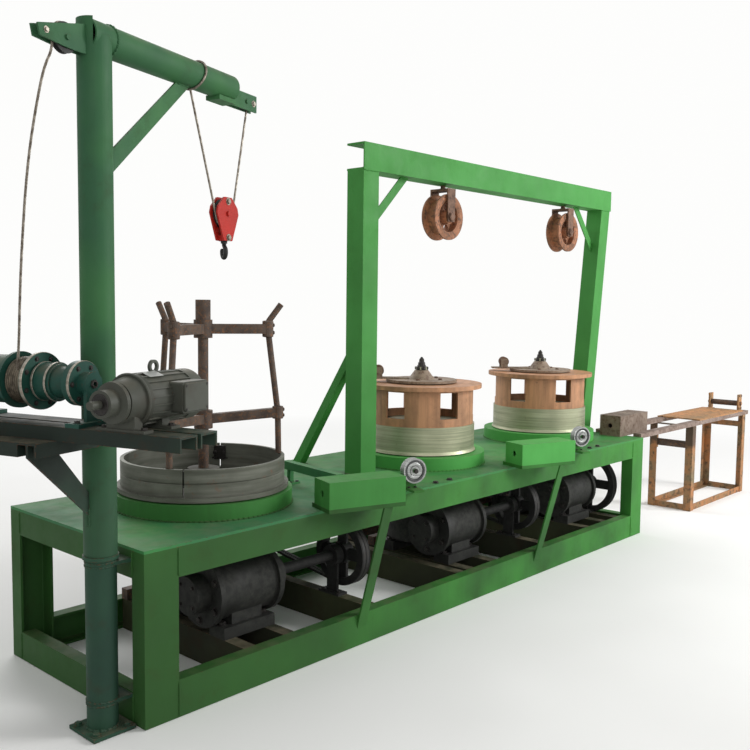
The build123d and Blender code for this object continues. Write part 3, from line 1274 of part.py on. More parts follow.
def mast():
    """The slewing tube over the pivot, its top cut away on one side for the arm to lie in."""
    low = CRANE_POST_TOP + CRANE_CAP_THICK + SEAT_GAP
    bore_top = CRANE_POST_TOP + CRANE_PIVOT_LENGTH + SEAT_GAP
    tube = rod_z(0, 0, low, MAST_TOP, MAST_RADIUS)
    tube -= rod_z(0, 0, low, bore_top, CRANE_PIVOT_RADIUS + RUNNING_FIT)
    tube -= rod_z(0, 0, bore_top, MAST_TOP, MAST_RADIUS - MAST_WALL)
    tube -= span_box(ARM_START, MAST_RADIUS, -MAST_RADIUS, MAST_RADIUS, ARM_HEIGHT, MAST_TOP)
    tube -= rod_x(ARM_START, MAST_RADIUS, 0, ARM_HEIGHT, ARM_RADIUS)
    tube -= rod_x(-MAST_RADIUS, 0, 0, rope_top(), ROPE_HOLE_RADIUS)
    return crane_place() * tube


def rope_top():
    """Height of the rope's run from the rear pulley into the arm."""
    return REAR_PULLEY_HEIGHT + rope_bend(REAR_PULLEY_RADIUS)


def arm():
    """The round arm that lies across the mast's top."""
    pipe = rod_x(ARM_START, ARM_LENGTH, 0, ARM_HEIGHT, ARM_RADIUS)
    return crane_place() * (pipe - rod_x(ARM_START, ARM_LENGTH, 0, ARM_HEIGHT, ARM_RADIUS - ARM_WALL))


def arm_brace():
    """The flat brace from the mast up to the arm."""
    under = ARM_HEIGHT - ARM_RADIUS
    low = ARM_HEIGHT - ARM_BRACE_DROP
    root = MAST_RADIUS - MAST_WALL
    half = ARM_BRACE_WIDTH / 2
    outline = [(root, low), (root, low + ARM_BRACE_WIDTH), (ARM_BRACE_REACH - half, under + ARM_WALL),
               (ARM_BRACE_REACH + half, under + ARM_WALL)]
    face = make_face(Plane.XZ * Polyline(*outline, close=True))
    bar = extrude(face, amount=ARM_BRACE_THICK / 2, both=True)
    bar -= rod_z(0, 0, low, ARM_HEIGHT, MAST_RADIUS)
    bar -= rod_x(0, ARM_LENGTH, 0, ARM_HEIGHT, ARM_RADIUS)
    return crane_place() * bar


def grooved_wheel(radius, width, pin_radius):
    """A small rope wheel lying flat, its groove as wide as the rope."""
    half = width / 2
    bore = pin_radius + RUNNING_FIT
    root = radius - HOIST_PULLEY_GROOVE
    rim = half - (half - ROPE_RADIUS) * HOIST_RIM_SHARE
    return turned([(bore, -half), (radius, -half), (radius, -rim), (root, -ROPE_RADIUS), (root, ROPE_RADIUS),
                   (radius, rim), (radius, half), (bore, half)])


def hoist_pulley(reach, height, radius):
    """A rope pulley about the crane's sideways direction."""
    wheel = grooved_wheel(radius, HOIST_PULLEY_WIDTH, HOIST_PIN_RADIUS)
    return crane_place() * Pos(reach, 0, height) * Rot(90, 0, 0) * wheel


def hoist_cheeks(outline, reach, height):
    """Two cheek plates of one outline on either side of a rope pulley, and its pin."""
    inner = HOIST_PULLEY_WIDTH / 2 + HOIST_SIDE_GAP
    outer = inner + HOIST_CHEEK_THICK
    body = rod_y(reach, -outer - HOIST_CHEEK_THICK, outer + HOIST_CHEEK_THICK, height, HOIST_PIN_RADIUS)
    face = make_face(Plane.XZ * Polyline(*outline, close=True))
    plate = extrude(face, amount=HOIST_CHEEK_THICK)
    return body + Pos(0, -inner, 0) * plate + Pos(0, outer, 0) * plate


def tip_bracket():
    """The cap on the arm's end, the plates that carry the tip pulley, and the plate under the pipe."""
    start = ARM_LENGTH + ARM_CAP_THICK
    cap = rod_x(ARM_LENGTH, start, 0, ARM_HEIGHT, ARM_RADIUS)
    cap -= rod_x(ARM_LENGTH, start, 0, ARM_HEIGHT, ARM_CAP_EYE)
    low = TIP_PULLEY_HEIGHT - TIP_CHEEK_HEIGHT / 2
    high = TIP_PULLEY_HEIGHT + TIP_CHEEK_HEIGHT / 2
    outline = [(start, low), (TIP_CHEEK_END, low), (TIP_CHEEK_END, high), (start, high)]
    cheeks = hoist_cheeks(outline, TIP_PULLEY_REACH, TIP_PULLEY_HEIGHT)
    inner = HOIST_PULLEY_WIDTH / 2 + HOIST_SIDE_GAP
    spacer = rod_y(TIP_SPACER_REACH, -inner, inner, TIP_PULLEY_HEIGHT, TIP_SPACER_RADIUS)
    half = TIP_PLATE_WIDTH / 2
    under = ARM_HEIGHT - ARM_RADIUS
    plate = span_box(TIP_PLATE_START, start, -half, half, under - TIP_PLATE_THICK, under + ARM_WALL)
    plate -= rod_x(TIP_PLATE_START, start, 0, ARM_HEIGHT, ARM_RADIUS)
    return crane_place() * (cap + cheeks + spacer + plate)


def rear_bracket():
    """The tapered plates behind the mast that hold the rear rope pulley."""
    high = ARM_HEIGHT + REAR_CHEEK_TOP
    tip_high = high - REAR_CHEEK_FALL
    foot = ARM_HEIGHT - REAR_CHEEK_FOOT
    end = -REAR_CHEEK_END
    outline = [(0, foot), (0, high), (end, tip_high), (end + REAR_CHEEK_TIP / 4, tip_high - REAR_CHEEK_TIP),
               (REAR_PULLEY_REACH, foot)]
    plates = hoist_cheeks(outline, REAR_PULLEY_REACH, REAR_PULLEY_HEIGHT)
    return crane_place() * (plates - rod_z(0, 0, foot, high, MAST_RADIUS))


def winch_axis():
    """How far out the winch's axis lies: midway over the platform's rails."""
    return -MAST_RADIUS - PLATFORM_DEPTH / 2


def lying_channel(x0, x1, y0, y1, top):
    """A rolled channel on its side, web up, its flanges down along its longer edges."""
    thick = PLATFORM_RAIL_THICK
    low = top - PLATFORM_RAIL_HEIGHT
    web = span_box(x0, x1, y0, y1, top - thick, top)
    if y1 - y0 > x1 - x0:
        return web + span_box(x0, x0 + thick, y0, y1, low, top) + span_box(x1 - thick, x1, y0, y1, low, top)
    return web + span_box(x0, x1, y0, y0 + thick, low, top) + span_box(x0, x1, y1 - thick, y1, low, top)


def platform_rails():
    """Two channels side by side, webs up."""
    near_edge = -MAST_RADIUS - PLATFORM_DEPTH
    far = lying_channel(-MAST_RADIUS - PLATFORM_RAIL_WIDTH, -MAST_RADIUS, PLATFORM_FRONT, PLATFORM_BACK,
                        PLATFORM_HEIGHT)
    near = lying_channel(near_edge, near_edge + PLATFORM_RAIL_WIDTH, PLATFORM_FRONT, PLATFORM_BACK,
                         PLATFORM_HEIGHT)
    return crane_place() * (far + near)


def platform_bearers():
    """The bearer under the rails, its tail bar and the flat prop down to the mast, all welded."""
    top = PLATFORM_HEIGHT - PLATFORM_RAIL_HEIGHT
    low = top - PLATFORM_RAIL_HEIGHT
    side = BEARER_ACROSS
    bearer = lying_channel(-BEARER_REACH, 0, side - PLATFORM_RAIL_WIDTH, side, top)
    tail = lying_channel(-BEARER_REACH, PLATFORM_RAIL_WIDTH - BEARER_REACH, side, BEARER_TAIL, top)
    outline = [(-BEARER_REACH, top - PLATFORM_RAIL_THICK), (-BEARER_REACH, low), (0, PROP_LOW - PROP_WIDTH),
               (0, PROP_LOW + PROP_FOOT_RISE), (PROP_TOP_WIDTH - BEARER_REACH, top - PLATFORM_RAIL_THICK)]
    prop = extrude(make_face(Plane.XZ * Polyline(*outline, close=True)), amount=PROP_THICK / 2, both=True)
    body = bearer + tail + prop
    return crane_place() * (body - rod_z(0, 0, PROP_LOW - 2 * PROP_WIDTH, PLATFORM_HEIGHT, MAST_RADIUS))


def hoist_motor():
    """The winch's motor: cowl, finned body, end bell, boss, shaft, feet, terminal box and lifting eye."""
    y = HOIST_MOTOR_ACROSS
    radius = HOIST_MOTOR_RADIUS
    z = PLATFORM_HEIGHT + HOIST_MOTOR_FOOT + radius
    x1 = HOIST_MOTOR_COWL_END
    x2 = x1 - HOIST_MOTOR_COWL
    x3 = x2 - HOIST_MOTOR_BODY
    x4 = x3 - HOIST_MOTOR_BELL
    x5 = x4 - HOIST_MOTOR_BOSS
    cowl = rod_x(x2, x1, y, z, radius)
    cowl = fillet(cowl.edges().group_by(Axis.X)[-1], HOIST_MOTOR_COWL_ROUND)
    body = cowl + rod_x(x3, x2, y, z, radius - HOIST_MOTOR_SKIN)
    lap = x3 + HOIST_MOTOR_BELL_LAP
    fin = span_box(lap, x2, -HOIST_FIN_THICK / 2, HOIST_FIN_THICK / 2, radius - HOIST_FIN_ROOT, radius)
    for turn in range(MOTOR_FINS):
        body += Pos(0, y, z) * Rot((turn + 0.5) * 360 / MOTOR_FINS, 0, 0) * fin
    cone = Cone(radius, HOIST_MOTOR_BOSS_RADIUS + HOIST_MOTOR_BELL_STEP, HOIST_MOTOR_BELL,
                align=(Align.CENTER, Align.CENTER, Align.MIN))
    bell = Pos(lap, y, z) * Rot(0, -90, 0) * cone
    boss = rod_x(x5, x4 + HOIST_MOTOR_BOSS_LAP, y, z, HOIST_MOTOR_BOSS_RADIUS)
    shaft = rod_x(x5 - HOIST_MOTOR_SHAFT, x5, y, z, HOIST_MOTOR_SHAFT_RADIUS)
    body += bell + boss + shaft
    half = HOIST_MOTOR_FEET_ACROSS / 2
    near = -MAST_RADIUS - PLATFORM_DEPTH
    foot = HOIST_FOOT_LENGTH / 2
    foot_top = PLATFORM_HEIGHT + HOIST_MOTOR_FOOT
    leg = HOIST_LEG_LENGTH / 2
    across = HOIST_LEG_ACROSS / 2
    for x in (-MAST_RADIUS - HOIST_FOOT_FROM_EDGE, near + HOIST_FOOT_FROM_EDGE):
        body += span_box(x - foot, x + foot, y - half, y + half, PLATFORM_HEIGHT, foot_top)
        body += span_box(x - leg, x + leg, y - across, y + across, PLATFORM_HEIGHT, z - radius / 2)
    length, width, height = HOIST_MOTOR_BOX
    box = span_box(-length / 2, length / 2, -width / 2, width / 2, -height / 2, height / 2)
    box = fillet(box.edges().filter_by(Axis.Y), HOIST_BOX_ROUND)
    body += Pos(x2 - length / 2 + HOIST_BOX_LAP, y - radius + HOIST_BOX_SINK, z + HOIST_BOX_RISE) * box
    eye_x = (x2 + x3) / 2
    eye_z = z + radius + HOIST_EYE_RISE
    half = HOIST_EYE_THICK / 2
    eye = rod_y(eye_x, y - half, y + half, eye_z, HOIST_EYE_RADIUS)
    eye += rod_z(eye_x, y, z, eye_z - HOIST_EYE_BORE, HOIST_EYE_THICK)
    eye -= rod_y(eye_x, y - HOIST_EYE_RADIUS, y + HOIST_EYE_RADIUS, eye_z, HOIST_EYE_BORE)
    return crane_place() * (body + eye)


def winch_z():
    """Height of the winch's axis."""
    return PLATFORM_HEIGHT + WINCH_AXIS_HEIGHT


def winch_drum():
    """The rope drum with its two flanges."""
    x = winch_axis()
    z = winch_z()
    y0 = WINCH_DRUM_START
    y1 = y0 + WINCH_DRUM_WIDTH
    drum = rod_y(x, y0, y1, z, WINCH_DRUM_RADIUS)
    drum += rod_y(x, y0, y0 + WINCH_FLANGE_THICK, z, WINCH_FLANGE_RADIUS)
    drum += rod_y(x, y1 - WINCH_FLANGE_THICK, y1, z, WINCH_FLANGE_RADIUS)
    return crane_place() * drum


def winch_case():
    """The parts of the winch beside the drum: gear tail, ringed case, neck, disc and hub."""
    x = winch_axis()
    z = winch_z()
    y0 = WINCH_DRUM_START
    y1 = y0 + WINCH_DRUM_WIDTH
    tail = rod_y(x, y1, y1 + WINCH_TAIL_LENGTH, z, WINCH_TAIL_RADIUS)
    case = rod_y(x, y0 - WINCH_CASE_LENGTH, y0, z, WINCH_CASE_RADIUS)
    near_inset, far_inset = WINCH_RING_INSETS
    for place in (y0 - WINCH_RING_WIDTH - near_inset, y0 - WINCH_CASE_LENGTH + far_inset):
        case += rod_y(x, place, place + WINCH_RING_WIDTH, z, WINCH_RING_RADIUS)
    y2 = y0 - WINCH_CASE_LENGTH
    y3 = y2 - WINCH_NECK_LENGTH
    y4 = y3 - WINCH_DISC_THICK
    y5 = y4 - WINCH_HUB_LENGTH
    neck = Cone(WINCH_CASE_RADIUS - WINCH_NECK_STEP, WINCH_NECK_RADIUS, WINCH_NECK_LENGTH,
                align=(Align.CENTER, Align.CENTER, Align.MIN))
    case += Pos(x, y2, z) * Rot(90, 0, 0) * neck
    case += rod_y(x, y4, y3, z, WINCH_DISC_RADIUS)
    case += rod_y(x, y5, y4, z, WINCH_HUB_RADIUS)
    case -= rod_y(x, y5, y4, z, WINCH_SHAFT_BORE)
    return crane_place() * (tail + case)


def winch_brackets():
    """Feet that carry the winch on the rails: a plate under the hub and a cradle under the tail."""
    x = winch_axis()
    z = winch_z()
    hub_end = WINCH_DRUM_START - WINCH_CASE_LENGTH - WINCH_NECK_LENGTH - WINCH_DISC_THICK - WINCH_HUB_LENGTH
    wide = WINCH_BRACKET_WIDTH / 2
    thick = WINCH_BRACKET_THICK
    near = -MAST_RADIUS - PLATFORM_DEPTH
    tail_end = WINCH_DRUM_START + WINCH_DRUM_WIDTH + WINCH_TAIL_LENGTH - WINCH_CRADLE_FROM_END
    brackets = []
    rings = ((hub_end - thick, hub_end, wide + WINCH_EYE_RIM),
             (tail_end - WINCH_CRADLE_THICK, tail_end, WINCH_TAIL_RADIUS + WINCH_CRADLE_RIM))
    for y0, y1, ring_radius in rings:
        base = span_box(near, -MAST_RADIUS, y0 - WINCH_FOOT_SIDE, y1 + WINCH_FOOT_SIDE, PLATFORM_HEIGHT,
                        PLATFORM_HEIGHT + thick)
        plate = span_box(x - wide, x + wide, y0, y1, PLATFORM_HEIGHT, z)
        brackets.append(base + plate + rod_y(x, y0, y1, z, ring_radius))
    eye, cradle = brackets
    eye -= rod_y(x, hub_end - thick - OVERCUT, hub_end + OVERCUT, z, WINCH_SHAFT_BORE)
    y0 = tail_end - WINCH_CRADLE_THICK - OVERCUT
    y1 = tail_end + OVERCUT
    clear = 2 * WINCH_TAIL_RADIUS
    cradle -= rod_y(x, y0, y1, z, WINCH_TAIL_RADIUS)
    cradle -= span_box(x - clear, x + clear, y0, y1, z, z + clear)
    return crane_place() * (eye + cradle)


# Rope, hook block and hook

def tangent_point(point, centre, radius, side):
    """Where a line from point touches a circle, both in the plane along the arm."""
    dx = point[0] - centre[0]
    dz = point[1] - centre[1]
    distance = math.hypot(dx, dz)
    angle = math.atan2(dz, dx) + side * math.acos(radius / distance)
    return centre[0] + radius * math.cos(angle), centre[1] + radius * math.sin(angle)


def outer_tangent(lower, low_radius, upper, high_radius):
    """The points where one straight run touches the right sides of two circles."""
    dx = upper[0] - lower[0]
    dz = upper[1] - lower[1]
    distance = math.hypot(dx, dz)
    angle = math.atan2(dz, dx) - math.acos((low_radius - high_radius) / distance)
    across = (math.cos(angle), math.sin(angle))
    first = (lower[0] + low_radius * across[0], lower[1] + low_radius * across[1])
    second = (upper[0] + high_radius * across[0], upper[1] + high_radius * across[1])
    return first, second


def rope_bend(pulley_radius):
    """The rope's own radius round a pulley."""
    return pulley_radius - HOIST_PULLEY_GROOVE + ROPE_RADIUS + SEAT_GAP


def front_rope():
    """The rope from its knot round the block's sheave, over the tip pulley and through the arm."""
    knot = (ROPE_KNOT_REACH, ARM_HEIGHT - ARM_RADIUS - ROPE_RADIUS - SEAT_GAP)
    block = (HOOK_REACH, BLOCK_SHEAVE_HEIGHT)
    tip = (TIP_PULLEY_REACH, TIP_PULLEY_HEIGHT)
    low_bend = rope_bend(BLOCK_SHEAVE_RADIUS)
    high_bend = rope_bend(TIP_PULLEY_RADIUS)
    touch = tangent_point(knot, block, low_bend, 1)
    leave, arrive = outer_tangent(block, low_bend, tip, high_bend)
    low = (block[0], block[1] - low_bend)
    start_angle = math.atan2(arrive[1] - tip[1], arrive[0] - tip[0])
    middle_angle = (start_angle + math.pi / 2) / 2
    middle = (tip[0] + high_bend * math.cos(middle_angle), tip[1] + high_bend * math.sin(middle_angle))
    top = (tip[0], tip[1] + high_bend)
    edges = [Line(knot, touch), ThreePointArc(touch, low, leave), Line(leave, arrive),
             ThreePointArc(arrive, middle, top), Line(top, (-MAST_RADIUS, rope_top()))]
    path = Plane.XZ * Wire(edges)
    start = Plane(origin=path @ 0, z_dir=path % 0)
    return crane_place() * sweep(start * Circle(ROPE_RADIUS), path)


def rope_knot():
    """The leaning turn of rope that ties its end round the arm."""
    radius = ARM_RADIUS + ROPE_RADIUS + SEAT_GAP
    lean = math.radians(ROPE_KNOT_LEAN)
    centre = (ROPE_KNOT_REACH + radius * math.tan(lean), 0, ARM_HEIGHT)
    plane = Plane(origin=centre, x_dir=(math.sin(lean), 0, math.cos(lean)),
                  z_dir=(math.cos(lean), 0, -math.sin(lean)))
    ring = plane * Edge.make_ellipse(radius / math.cos(lean), radius)
    start = Plane(origin=ring @ 0, z_dir=ring % 0)
    return crane_place() * sweep(start * Circle(ROPE_RADIUS), ring)


def back_rope():
    """The slack rope from the mast over the rear pulley and down to the winch drum."""
    bend = rope_bend(REAR_PULLEY_RADIUS)
    side = REAR_PULLEY_REACH - bend
    start = (-MAST_RADIUS, 0, rope_top())
    corner = (side, 0, rope_top())
    fall = (side, 0, REAR_PULLEY_HEIGHT - bend)
    end = (winch_axis() - WINCH_DRUM_RADIUS - ROPE_RADIUS - SEAT_GAP, WINCH_DRUM_START + WINCH_DRUM_WIDTH / 2,
           winch_z())
    sag = [(out, left, fall[2] + part * (end[2] - fall[2])) for out, left, part in ROPE_SAG]
    points = [start, corner, fall] + sag + [end]
    radii = [bend] + [route_radius(points, index) for index in range(2, len(points) - 1)]
    path = FilletPolyline(*points, radius=radii)
    plane = Plane(origin=points[0], z_dir=path % 0)
    rope = sweep(plane * Circle(ROPE_RADIUS), path)
    return crane_place() * rope


def route_radius(points, index):
    """The largest arc that the two runs at a corner allow."""
    before = Vector(*points[index]) - Vector(*points[index - 1])
    after = Vector(*points[index + 1]) - Vector(*points[index])
    half_turn = math.radians(before.get_angle(after)) / 2
    return ROPE_BEND_SHARE * min(before.length, after.length) / math.tan(half_turn)


def rope_pulleys():
    """The pulleys at the arm's tip, behind the mast and in the hook block."""
    tip = hoist_pulley(TIP_PULLEY_REACH, TIP_PULLEY_HEIGHT, TIP_PULLEY_RADIUS)
    rear = hoist_pulley(REAR_PULLEY_REACH, REAR_PULLEY_HEIGHT, REAR_PULLEY_RADIUS)
    return one(tip, rear, block_sheave())


def hook_block():
    """Two kite shaped cheek plates, the sheave's pin, and the nose that the hook turns in."""
    inner = BLOCK_SHEAVE_WIDTH / 2 + BLOCK_SIDE_GAP
    outer = inner + BLOCK_PLATE_THICK
    z = BLOCK_SHEAVE_HEIGHT
    low = BLOCK_NOSE_HEIGHT
    corners = [(BLOCK_PLATE_FOOT, low), (BLOCK_PLATE_RADIUS, z),
               (BLOCK_PLATE_RADIUS - BLOCK_PLATE_THICK, z + BLOCK_PLATE_CROWN),
               (BLOCK_PLATE_CROWN, z + BLOCK_PLATE_TOP)]
    outline = [(HOOK_REACH + x, y) for x, y in corners] + [(HOOK_REACH - x, y) for x, y in reversed(corners)]
    plate = extrude(make_face(Plane.XZ * Polyline(*outline, close=True)), amount=BLOCK_PLATE_THICK)
    plate = fillet(plate.edges().filter_by(Axis.Y), BLOCK_PLATE_THICK)
    foot = BLOCK_PLATE_FOOT - BLOCK_PLATE_THICK
    nose = span_box(HOOK_REACH - foot, HOOK_REACH + foot, -inner, inner, low, low + BLOCK_NOSE_THICK)
    pin = rod_y(HOOK_REACH, -outer - BLOCK_PLATE_THICK, outer + BLOCK_PLATE_THICK, z, BLOCK_PIN_RADIUS)
    body = Pos(0, -inner, 0) * plate + Pos(0, outer, 0) * plate + nose + pin
    body -= rod_z(HOOK_REACH, 0, low, low + BLOCK_NOSE_THICK, HOOK_SHANK_RADIUS + RUNNING_FIT)
    return crane_place() * body


def block_sheave():
    """The sheave in the hook block."""
    wheel = grooved_wheel(BLOCK_SHEAVE_RADIUS, BLOCK_SHEAVE_WIDTH, BLOCK_PIN_RADIUS)
    return crane_place() * Pos(HOOK_REACH, 0, BLOCK_SHEAVE_HEIGHT) * Rot(90, 0, 0) * wheel


def hook():
    """The swivelling hook: nut above the nose, shank, and a round bar bent to a throat."""
    low = BLOCK_NOSE_HEIGHT
    high = low + BLOCK_NOSE_THICK + SEAT_GAP
    bend = HOOK_BEND_RADIUS
    shank_end = low - HOOK_SHANK_LENGTH
    centre = shank_end - bend - HOOK_BAR_RADIUS
    nut = rod_z(0, 0, high, high + HOOK_NUT_HEIGHT, HOOK_NUT_RADIUS)
    shank = rod_z(0, 0, shank_end, high + HOOK_NUT_HEIGHT, HOOK_SHANK_RADIUS)
    half_bar = HOOK_BAR_RADIUS / 2
    neck = rod_z(0, 0, shank_end + half_bar, low - SEAT_GAP, HOOK_SHANK_RADIUS + half_bar)
    arc = CenterArc((0, centre), bend, HOOK_ARC_START_ANGLE, HOOK_ARC_SWEEP_ANGLE)
    lead = Spline(Vector(0, shank_end + half_bar), arc @ 0, tangents=[Vector(0, -1), arc % 0])
    path = Plane.XZ * Wire([lead, arc])
    plane = Plane(origin=path @ 0, z_dir=path % 0)
    bar = sweep(plane * Circle(HOOK_BAR_RADIUS), path)
    point = Plane.XZ * Pos(*(arc @ 1)) * Sphere(HOOK_BAR_RADIUS)
    return crane_place() * Pos(HOOK_REACH, 0, 0) * Rot(0, 0, HOOK_TURN) * (nut + shank + neck + bar + point)


# Feed stand

def stand_corners():
    """The outer corners of the feed stand's legs, with the ways its angles open."""
    x0 = LEFT_END + STAND_LEFT
    x1 = LEFT_END + STAND_RIGHT
    y0 = FRONT + STAND_FRONT
    y1 = FRONT + STAND_BACK
    return [(x0, y0, 1, 1), (x1, y0, -1, 1), (x0, y1, 1, -1), (x1, y1, -1, -1)]


def stand_legs():
    """Four angle legs."""
    legs = []
    thick = STAND_ANGLE_THICK
    for x, y, inx, iny in stand_corners():
        leg = span_box(x, x + inx * STAND_LEG, y, y + iny * thick, 0, STAND_HEIGHT)
        leg += span_box(x, x + inx * thick, y, y + iny * STAND_LEG, 0, STAND_HEIGHT)
        legs.append(leg)
    return one(*legs)


def stand_ties():
    """Angle ties on the floor and flat ties higher up, between the legs."""
    (x0, y0, _, _), (x1, _, _, _), (_, y1, _, _), _ = stand_corners()
    thick = STAND_ANGLE_THICK
    ties = []
    for y, inward in ((y0, 1), (y1, -1)):
        edge = y + inward * thick
        tie = span_box(x0 + thick, x1 - thick, edge, edge + inward * STAND_TIE, 0, thick)
        tie += span_box(x0 + thick, x1 - thick, edge, edge + inward * thick, 0, STAND_TIE)
        ties.append(tie)
    for x, inward in ((x0, 1), (x1, -1)):
        edge = x + inward * thick
        low = edge + inward * STAND_TIE
        inset = thick + STAND_TIE
        ties.append(span_box(edge, edge + inward * thick, y0 + inset, y1 - inset, 0, STAND_TIE))
        ties.append(span_box(edge, low, y0 + thick, y1 - thick, STAND_HEIGHT - thick, STAND_HEIGHT))
    ties.append(span_box(x1 - 2 * thick, x1 - thick, y0 + thick, y1 - thick, STAND_MID_TIE_HEIGHT,
                         STAND_MID_TIE_HEIGHT + STAND_TIE))
    return one(*ties)


def stand_rails():
    """The two long rails from the end of the base over the legs."""
    rails = []
    x1 = LEFT_END + STAND_RAIL_END
    for y0 in (FRONT + STAND_FRONT, FRONT + STAND_BACK - STAND_RAIL_WIDTH):
        top = STAND_HEIGHT + STAND_RAIL_HEIGHT
        rails.append(span_box(RIGHT_END, x1, y0, y0 + STAND_RAIL_WIDTH, STAND_HEIGHT, top))
    return one(*rails)


def stand_plate():
    """The plate between and over the rails."""
    x0 = LEFT_END + STAND_PLATE_START
    x1 = LEFT_END + FEED_CHEEKS_FROM_LEFT - FEED_CHEEK_WIDTH / 2 - STAND_PLATE_END_GAP
    top = STAND_HEIGHT + STAND_RAIL_HEIGHT
    return span_box(x0, x1, FRONT + STAND_FRONT, FRONT + STAND_BACK, top, top + STAND_PLATE_THICK)


def feed_rollers_span():
    """The front and back ends of the top feed roller."""
    return FRONT + STAND_FRONT + STAND_RAIL_WIDTH, FRONT + STAND_BACK - STAND_RAIL_WIDTH


def roller_cheeks():
    """Two upright cheeks on the rails, with the pin that the top roller turns on."""
    x = LEFT_END + FEED_CHEEKS_FROM_LEFT
    low = STAND_HEIGHT + STAND_RAIL_HEIGHT
    y0, y1 = feed_rollers_span()
    wide = FEED_CHEEK_WIDTH / 2
    front = span_box(x - wide, x + wide, y0 - FEED_CHEEK_THICK, y0, low, low + FEED_CHEEK_HEIGHT)
    back = span_box(x - wide, x + wide, y1, y1 + FEED_CHEEK_THICK, low, low + FEED_CHEEK_HEIGHT)
    reach = FEED_CHEEK_THICK + FEED_PIN_END
    pin = rod_y(x, y0 - reach, y1 + reach, FEED_ROLLER_HEIGHT, FEED_PIN_RADIUS)
    return front + back + pin


def roller(x, y0, y1, z, radius, bore):
    """A plain roller along Y."""
    return rod_y(x, y0, y1, z, radius) - rod_y(x, y0 - OVERCUT, y1 + OVERCUT, z, bore)


def feed_roller():
    """The top roller between the cheeks."""
    y0, y1 = feed_rollers_span()
    x = LEFT_END + FEED_CHEEKS_FROM_LEFT
    bore = FEED_PIN_RADIUS + RUNNING_FIT
    return roller(x, y0 + AIR_GAP, y1 - AIR_GAP, FEED_ROLLER_HEIGHT, FEED_ROLLER_RADIUS, bore)


def low_span():
    """The inner faces of the low roller's bearing blocks."""
    depth = LOW_BLOCK_SIZE[1]
    y0 = FRONT + STAND_FRONT + STAND_ANGLE_THICK + depth
    y1 = FRONT + STAND_BACK - STAND_ANGLE_THICK - depth
    return y0, y1


def low_x():
    """Where the low roller's axis lies, beside the left legs."""
    return LEFT_END + STAND_LEFT + STAND_ANGLE_THICK + LOW_BLOCK_SIZE[0] / 2


def roller_blocks():
    """Bearing blocks on the left legs."""
    length, depth, height = LOW_BLOCK_SIZE
    x = low_x()
    blocks = []
    for y0, y1 in ((low_span()[0] - depth, low_span()[0]), (low_span()[1], low_span()[1] + depth)):
        block = span_box(x - length / 2, x + length / 2, y0, y1, LOW_ROLLER_HEIGHT - height / 2,
                         LOW_ROLLER_HEIGHT + height / 2)
        bore = rod_y(x, y0 - OVERCUT, y1 + OVERCUT, LOW_ROLLER_HEIGHT, LOW_PIN_RADIUS + RUNNING_FIT)
        blocks.append(block - bore)
    return one(*blocks)


def low_roller():
    """The low roller with its journals."""
    y0, y1 = low_span()
    depth = LOW_BLOCK_SIZE[1] - SEAT_GAP
    body = rod_y(low_x(), y0 + AIR_GAP, y1 - AIR_GAP, LOW_ROLLER_HEIGHT, LOW_ROLLER_RADIUS)
    return body + rod_y(low_x(), y0 - depth, y1 + depth, LOW_ROLLER_HEIGHT, LOW_PIN_RADIUS)


# All pieces by name

